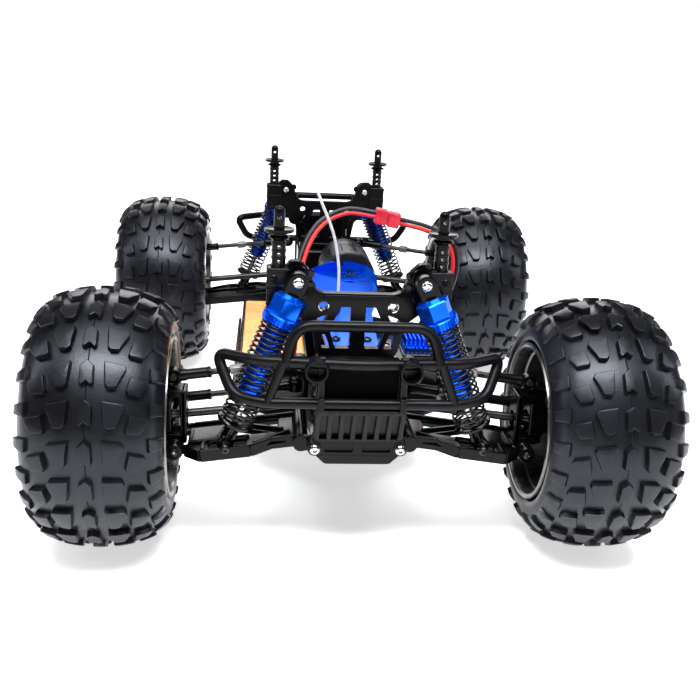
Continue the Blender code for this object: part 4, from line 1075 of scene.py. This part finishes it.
def shock_tower(end):
    """The upright plate that the shocks' top ends and the body posts stand on."""
    y, forward = TOWER_Y[end], Y * OUTWARD[end]
    solids, steel, polished = tower_plate(y, forward), [], []
    eyelet = [(2.2, 1.9), (2.2, 2.7), (2.75, 2.6), (2.85, 2.1)]
    for side in (-1, 1):
        solids += post_socket(side * POST_X, y)
        stud = Vector((side * SHOCK_TOP[0], y, SHOCK_TOP[1]))
        eye = Vector((stud.x, AXLE[end], stud.z)) + forward * SHOCK_OFFSET
        solids += [rod(stud, eye - forward * 3.6, 3.4, sides=28, bevel=0.4),
                   rod(stud, stud + forward * 4.6, 5.4, sides=36, bevel=0.9),
                   rod(stud - forward * 2.4, stud - forward * 3.6, 4.2, sides=28, bevel=0.4)]
        steel += [rod(stud, eye + forward * 3.3, 1.4, sides=16),
                  screw_head(eye + forward * 3.0, forward, 2.8, 1.6),
                  screw_head(stud - forward * 3.5, -forward, 2.2, 1.3),
                  turned(eyelet, frame_at((side * EYELET[0], y, EYELET[1]), forward), steps=28, closed=True)]
        for x, z in ((34.6, 137.2), (23.6, 135.4), (22.8, 129.6), (27.0, 124.6)):
            face = Vector((side * x, y, z))
            polished.append(rod(face + forward * 2.0, face + forward * 3.6, 2.2, bevel=0.7))
        polished.append(screw_head(Vector((side * 40.3, y, 133)) + forward * 4.6, forward, 1.9, 1.0))
    add(f"{end}_tower", solids, SATIN_PLASTIC, "chassis", f"{end}_shock_tower")
    add(f"{end}_tower_studs", polished, GLOSS_PLASTIC, "chassis")
    add(f"{end}_tower_screws", steel, BRIGHT, "chassis")


def body_post(end, side):
    """A post with rings, a soft flange, a resting disc and clip holes."""
    x, y = SIDES[side] * POST_X, TOWER_Y[end]
    profile = [(122.6, 0), (122.6, 3.4)]
    for z in POST_RINGS:
        profile += [(z - 0.6, 3.3), (z - 0.4, 3.55), (z + 0.4, 3.55), (z + 0.6, 3.3)]
    profile += [(150.4, 3.3), (150.8, 3.6), (151.6, 5.0), (152.0, 5.15), (152.4, 4.4), (152.8, 3.4),
                (153.8, 3.4), (154.1, 6.6), (154.5, 6.95), (155.6, 6.95), (155.9, 6.5), (156.0, 2.7),
                (156.4, 2.6), (POST_TOP - 2.4, 2.6), (POST_TOP - 0.9, 2.0), (POST_TOP - 0.1, 0.9),
                (POST_TOP, 0)]
    post = turned(profile, frame_at((x, y, 0), Z), steps=32)
    holes = [pin(Vector((x, y, z)), Y, 9, 0.95) for z in POST_HOLES]
    add(f"{end}_{side}_post", cut(post, holes), SATIN_PLASTIC, "chassis",
        f"body_post_{end}_{side}")


# ---- chassis, gearboxes and drive line ----------------------------------------------------------------
def chassis_frame():
    """The moulded tray with its side rails, and the blue alloy deck and motor wall."""
    half = [(0, -140), (18, -140), (22, -108), (60, -78), (62, 70), (40, 96), (20, 112), (20, 150), (0, 150)]
    holes = [circle(x, y, 2) for x, y in TRAY_SCREWS]
    tray = [plate(rounded(mirrored(half), 4), TRAY_LOW, TRAY_TOP, Matrix(), holes)]
    for side in (-1, 1):
        tray.append(block((side * 59.5, -71.8, 47.0), (side * 61.5, 65.8, 53.9), 0.8))
        for y in range(-60, 61, 20):
            tray.append(beam((side * 24, y, 45.2), (side * 56, y + 8, 45.2), 2.0, 0.35, bevel=0.1))
    add("chassis_tray", tray, SATIN_PLASTIC, "chassis", "chassis_plate")
    deck = [(-13, -126), (13, -126), (16, -60), (24, -20), (26, 16), (18, 41), (-14, 41), (-15, -60)]
    deck_holes = [circle(x, y, 2) for x, y in DECK_SCREWS]
    deck_holes += [circle(10, 12, 3), circle(*AERIAL_XY, 2)]
    deck_holes.append(rounded([(2.4, 26.5), (20.6, 26.5), (20.6, 37.6), (2.4, 37.6)], 1))
    wall = [(-17, 47), (24, 47), (32, 80), (30, 93), (24, 99), (14, 101.5), (-2, 101.5), (-17, 94)]
    wall_holes = [circle(0, CENTRE_HEIGHT, 4, 28), circle(MOTOR.x, MOTOR.z, 6.5, 32)]
    for degrees in (-60, 120):
        a = math.radians(degrees)
        wall_holes.append(circle(MOTOR.x + 12.5 * math.cos(a), MOTOR.z + 12.5 * math.sin(a), 1.8))
    behind = Matrix.Translation((0, WALL_Y, 0)) @ XZ_PLANE
    alloy = [plate(rounded(deck, 4), DECK_LOW, DECK_TOP, Matrix(), deck_holes, edge=0.4),
             plate(rounded(wall, 2.5), -1.9, 1.9, behind, wall_holes, edge=0.4)]
    add("upper_deck", alloy, BLUE, "chassis")
    screws = [screw_head((x, y, TRAY_TOP), Z, 2.8, 1.6) for x, y in TRAY_SCREWS]
    screws += [screw_head((x, y, DECK_TOP), Z, 2.6, 1.4) for x, y in DECK_SCREWS]
    add("frame_screws", screws, DARK_STEEL, "chassis")


def gearbox(end):
    """The bulkhead round a differential, its shaft collars, hinge lugs and pins."""
    axle, way = AXLE[end], OUTWARD[end]
    shaft_z = SHAFT_INNER[1]
    bores = [rod((side * 13, axle, shaft_z), (side * 22, axle, shaft_z), 6.2, sides=32) for side in (-1, 1)]
    solids = [cut(block((-20, axle - 15.8, FITTING_BASE), (20, axle + 15.8, 72), 2.2), bores),
              cut(block((-19.6, axle - 16.2, 71), (19.6, axle + 16.2, 91.4), 2.6), bores)]
    pins = []
    section = [(15, 6.2), (15, 8.6), (20.0, 8.6), (20.4, 8.2), (20.4, 6.2)]
    lug_in, lug_out = ARM_HALF_LENGTH + 0.5, ARM_HALF_LENGTH + 3.8
    for side in (-1, 1):
        solids.append(turned(section, frame_at((0, axle, shaft_z), (side, 0, 0)), steps=36, closed=True))
        x, z = side * ARM_INNER[0], ARM_INNER[1]
        for low, high in ((axle - lug_out, axle - lug_in), (axle + lug_in, axle + lug_out)):
            solids.append(block((side * 15, low + 0.1, z - 3.7), (x + side * 0.5, high - 0.1, z + 3.7), 0.6))
            solids.append(rod((x, low, z), (x, high, z), 3.9))
        pins.append(pin(Vector((x, axle, z)), Y, 19.8, PIN_RADIUS))
        for dy in (-11, 11):
            foot = Vector((side * 17.4, axle + dy, 69))
            solids.append(rod(foot, foot + Z * 6, 2.5, sides=20, bevel=0.4))
            pins.append(screw_head(foot + Z * 6, Z, 2.0, 1.0))
    y = axle + way * 16.3
    for x in (-12, -6, 0, 6, 12):
        solids.append(block((x - 0.8, y - 1, 74), (x + 0.8, y + 0.15, 90), 0.12))
    add(f"{end}_bulkhead", solids, SATIN_PLASTIC, "chassis", f"{end}_gearbox")
    add(f"{end}_hinge_pins", pins, DARK_STEEL, "chassis")


def drive_line():
    """The centre shaft with a cup at each end and the hub of its spur gear."""
    low, high = [corner.y for corner in box("centre_shaft_and_spur")]
    front_cup = [(low, 0), (low, 2.4), (low + 8, 2.4), (low + 8, 4.0), (low + 9, 4.2), (low + 19.5, 4.2),
                 (low + 20, 3.6), (low + 20, 2.4)]
    hub = [(26, 2.4), (26, 5.2), (26.5, 5.5), (29, 5.5), (29, 2.2), (35, 2.2), (35, 5.5), (36.6, 5.5),
           (37, 5.0), (37, 2.4)]
    rear_cup = [(high - 20, 2.4), (high - 20, 4.0), (high - 19.5, 4.2), (high - 9, 4.2), (high - 8, 4.0),
                (high - 8, 2.4), (high, 2.4), (high, 0)]
    shaft = turned(front_cup + hub + rear_cup, frame_at((0, 0, CENTRE_HEIGHT), Y), steps=32)
    add("centre_shaft", shaft, DARK_STEEL, "centre_shaft")
    repaint("centre_shaft_and_spur", GLOSS_PLASTIC)
    repaint("motor_pinion", BRASS)


def motor():
    """The motor's can with its ribs, in the wall behind the spur gear."""
    placing = frame_at((MOTOR.x, 0, MOTOR.z), Y)
    r = MOTOR_RADIUS
    can = [(42.4, 0), (42.4, 6), (43.0, 6.4), (43.0, 15.5), (43.6, r - 0.8), (44.6, r), (46, r),
           (46.3, r - 0.5), (47.3, r - 0.5), (47.6, r), (76, r), (76.3, r - 0.4), (77.3, r - 0.4), (77.6, r),
           (88.6, r), (89.4, r - 0.8), (94.2, r - 0.8), (95, 16.4), (95, 6), (97, 4.2), (98, 3.4), (98, 0)]
    add("motor_shell", turned(can, placing, steps=64), DARK_STEEL, "chassis", "motor_can",
        sharp=30)
    ribs = [block((50, -0.7, r - 1.2), (73.5, 0.7, r - 0.02), 0.25, placing @ wheel_turn(i, MOTOR_RIBS))
            for i in range(MOTOR_RIBS)]
    add("motor_ribs", ribs, SATIN_PLASTIC, "chassis")


# ---- steering -----------------------------------------------------------------------------------------
def steering():
    """The servo with its horn, the link that the horn's stud slides, and the tie rods."""
    x, y, z = HORN_AXIS
    case = [block((x - 10, y - 10, FITTING_BASE), (x + 10, y + 30.5, 70.5), 0.8),
            block((x - 9.8, y - 9.8, 70.2), (x + 9.8, y + 30.3, 82), 0.9),
            block((x - 10, y - 14.5, 74), (x + 10, y + 36, 76.5), 0.5),
            rod((x, y, z - 5), (x, y, z - 2.2), 5.5, sides=36, bevel=0.4)]
    for i in range(9):
        case.append(block((x - 10.05, y - 8 + i * 4.3, 50), (x + 10.05, y - 6.6 + i * 4.3, 68), 0.2))
    add("servo_case", case, SATIN_PLASTIC, "chassis", "steering_servo")
    steel = [knurled(frame_at((x, y, 0), Z), z - 3, z + 2, 1.6, 20, 0.2)]
    steel += [screw_head((x + dx, y + dy, 76.5), Z, 2.0, 1.2) for dx in (-6, 6) for dy in (-12.4, 33.6)]
    add("servo_metal", steel, BRASS, "chassis")
    hub = [(z - 1.5, 2.1), (z - 1.5, 4.4), (z + 2.2, 4.4), (z + 2.5, 4.1), (z + 2.5, 2.1)]
    end = Vector((x, y - HORN_LENGTH, z))
    arm = [turned(hub, frame_at((x, y, 0), Z), steps=32, closed=True),
           beam((x, y - 3, z + 1), end + Z, 5.6, 2.8, bevel=0.6),
           rod(end + Z * 2.5, end - Z * 0.4, 3.0, bevel=0.3)]
    add("horn_arm", arm, GLOSS_PLASTIC, "horn", "servo_horn")
    stud = rod(end + Z * 2.6, end - Z * 7.4, 1.35, sides=16, bevel=0.2)
    add("horn_stud", stud, BRIGHT, "horn")
    half = TIE_INNER[0]
    bar = [(-half, -3.2), (half, -3.2), (half, 3.2), (x + 6, 3.2), (x + 5, 7.4), (x - 5, 7.4), (x - 6, 3.2),
           (-half, 3.2)]
    slot = rounded([(x - 2.1, -2.4), (x + 2.1, -2.4), (x + 2.1, 5.2), (x - 2.1, 5.2)], 1.2)
    bottom, top = [corner.z for corner in box("steering_link")]
    link = plate(rounded(bar, 1.6), bottom, top, Matrix.Translation((0, TIE_Y, 0)), [slot])
    add("drag_link", link, SATIN_PLASTIC, "rack", "steering_link")
    for side, sign in SIDES.items():
        inner = Vector((sign * TIE_INNER[0], TIE_Y, TIE_INNER[1] - 3))
        outer = inner + Vector((sign * ARM_REACH["front"][0], 0, ARM_REACH["front"][1]))
        turnbuckle(f"tie_{side}", inner, outer, Z, f"tie_{side}", f"tie_rod_{side}")


# ---- electronics and leads ----------------------------------------------------------------------------
BATTERY_BOX = Vector((-58, -88, FITTING_BASE)), Vector((-19.5, 45, 73.4))
PLUG = Vector((27, -20, 142))
WIRE_DIAMETER, WIRE_SPREAD = 2.5, 1.3
SINK_FINS = 8
# the leads' routes, from the battery and from the plug
BATTERY_LEAD = [(-30, -84, 68), (-28, -84, 92), (-25, -50, 117), (-15, -28, 136), (2, -20, 145),
                (PLUG.x - 6, -20, 143.6)]
CONTROLLER_LEAD = [(PLUG.x + 6, -20, 140.6), (52, -20, 136), (66, -20, 128), (70, -20, 112),
                   (64, -22, 92), (56, -24, 76)]


def battery():
    """A flat battery in shrink wrap, with dark ends, two straps and dark long edges."""
    low, high = BATTERY_BOX
    cells = block(low + Y * 3, high - Y * 3, 3.2)
    add("battery_cells", cells, WRAP, "chassis", "battery_pack", sharp=50)
    ends = [block(low, (high.x, low.y + 4.5, high.z), 2.6), block((low.x, high.y - 4.5, low.z), high, 2.6)]
    for y in (-58, 12):
        ends.append(block((low.x + 0.05, y, low.z + 0.05), (high.x - 0.05, y + 6, high.z - 0.01), 3.2))
    for x in (low.x + 1.2, high.x - 1.2):
        z = high.z - 1.1
        ends.append(beam((x, low.y + 4, z), (x, high.y - 4, z), 2.2, 2.0, bevel=0.9))
    add("battery_ends", ends, GLOSS_PLASTIC, "chassis")


def controller():
    """The speed controller and its finned heat sink."""
    case = block((35, -58, FITTING_BASE), (58, -12, 70), 1.5)
    add("controller_case", case, GLOSS_PLASTIC, "chassis", "speed_controller")
    sink = [block((38, -50, 69.5), (57, -20, 71.5), 0.3)]
    for i in range(SINK_FINS):
        x = 38.4 + i * 2.5
        sink.append(block((x, -50, 71), (x + 1.2, -20, 77), 0.25))
    add("controller_heat_sink", sink, BLUE, "chassis")


def receiver():
    """The receiver's case and its white whip aerial."""
    x, y = AERIAL_XY
    collar_section = [(90, 2.4), (95.2, 1.85), (96.0, 1.7), (98.5, 1.2), (98.5, 0)]
    case = [block((-12, y - 2.5, 77), (10, y + 34, 91.5), 1.5),
            block((-11.6, y - 2.1, 84), (9.6, y + 33.6, 84.6), 0.2),
            turned(collar_section, frame_at((x, y, 0), Z), steps=20)]
    add("receiver_case", case, GLOSS_PLASTIC, "chassis", "radio_receiver")
    whip = smooth_path([(x, y, 88), (x, y, 104), (x - 0.5, y - 1, 120), (x - 4, y - 2, 138),
                        (x - 11, y - 3, 155), (x - 14, y - 3, 162)], 10)
    add("aerial", tube(whip, 0.8, 3), WHITE_PLASTIC, "chassis", sharp=80)


def plug():
    """The red plug in its two halves, on the ends of the two leads."""
    tilt = Matrix.Translation(PLUG) @ Matrix.Rotation(math.radians(10), 4, "Y")
    halves = [block((-7.4, -3.8, -4.4), (-0.3, 3.8, 4.6), 0.9, tilt),
              block((0.3, -3.8, -4.8), (7.4, 3.8, 4.1), 0.9, tilt),
              block((-3, -2.8, -3.4), (3, 2.8, 3.4), 0.6, tilt)]
    halves += [block((x, -3.95, -3.0), (x + 0.8, 3.95, 3.2), 0.2, tilt) for x in (-6.2, -4.4, 4.0, 5.8)]
    return add("plug_halves", halves, RED_NYLON, "chassis")


def leads():
    """Two stiff twin leads with their plug: each is a red and a black wire side by side."""
    joint = plug()
    routes = {"battery": smooth_path(BATTERY_LEAD, 8), "controller": smooth_path(CONTROLLER_LEAD, 8)}
    for name, route in routes.items():
        for surface, colour, shift in ((RED_SILICONE, "red", -1), (BLACK_SILICONE, "black", 1)):
            wire = []
            for i, place in enumerate(route):
                ahead = (route[min(i + 1, len(route) - 1)] - route[max(i - 1, 0)]).normalized()
                side = ahead.cross(Y)
                side = side.normalized() if side.length > 0.2 else X
                wire.append(place + side * shift * WIRE_SPREAD)
            lead = add(f"{name}_{colour}_wire", tube(wire, WIRE_DIAMETER / 2, 4), surface, "chassis",
                       sharp=80)
            if name == "controller":
                wire.reverse()


def add_floor():
    """The pale floor that the truck stands on."""
    bpy.ops.mesh.primitive_plane_add(size=8)
    floor = bpy.context.object
    floor.name = "floor"
    floor.data.materials.append(FLOOR)


# ---- the truck ----------------------------------------------------------------------------------------
add_camera()
add_studio()
leads()
for corner in CORNERS:
    tyre(*corner)
    rim(*corner)
    shock(*corner)
    lower_arm(*corner)
    dogbone(*corner)
    body_post(*corner)
    upper_link(*corner)
for one in SIDES:
    hub_carrier(one)
    knuckle(one)
    rear_upright(one)
for one in AXLE:
    bumper(one)
    shock_tower(one)
    gearbox(one)
chassis_frame()
drive_line()
motor()
steering()
battery()
controller()
receiver()
add_floor()
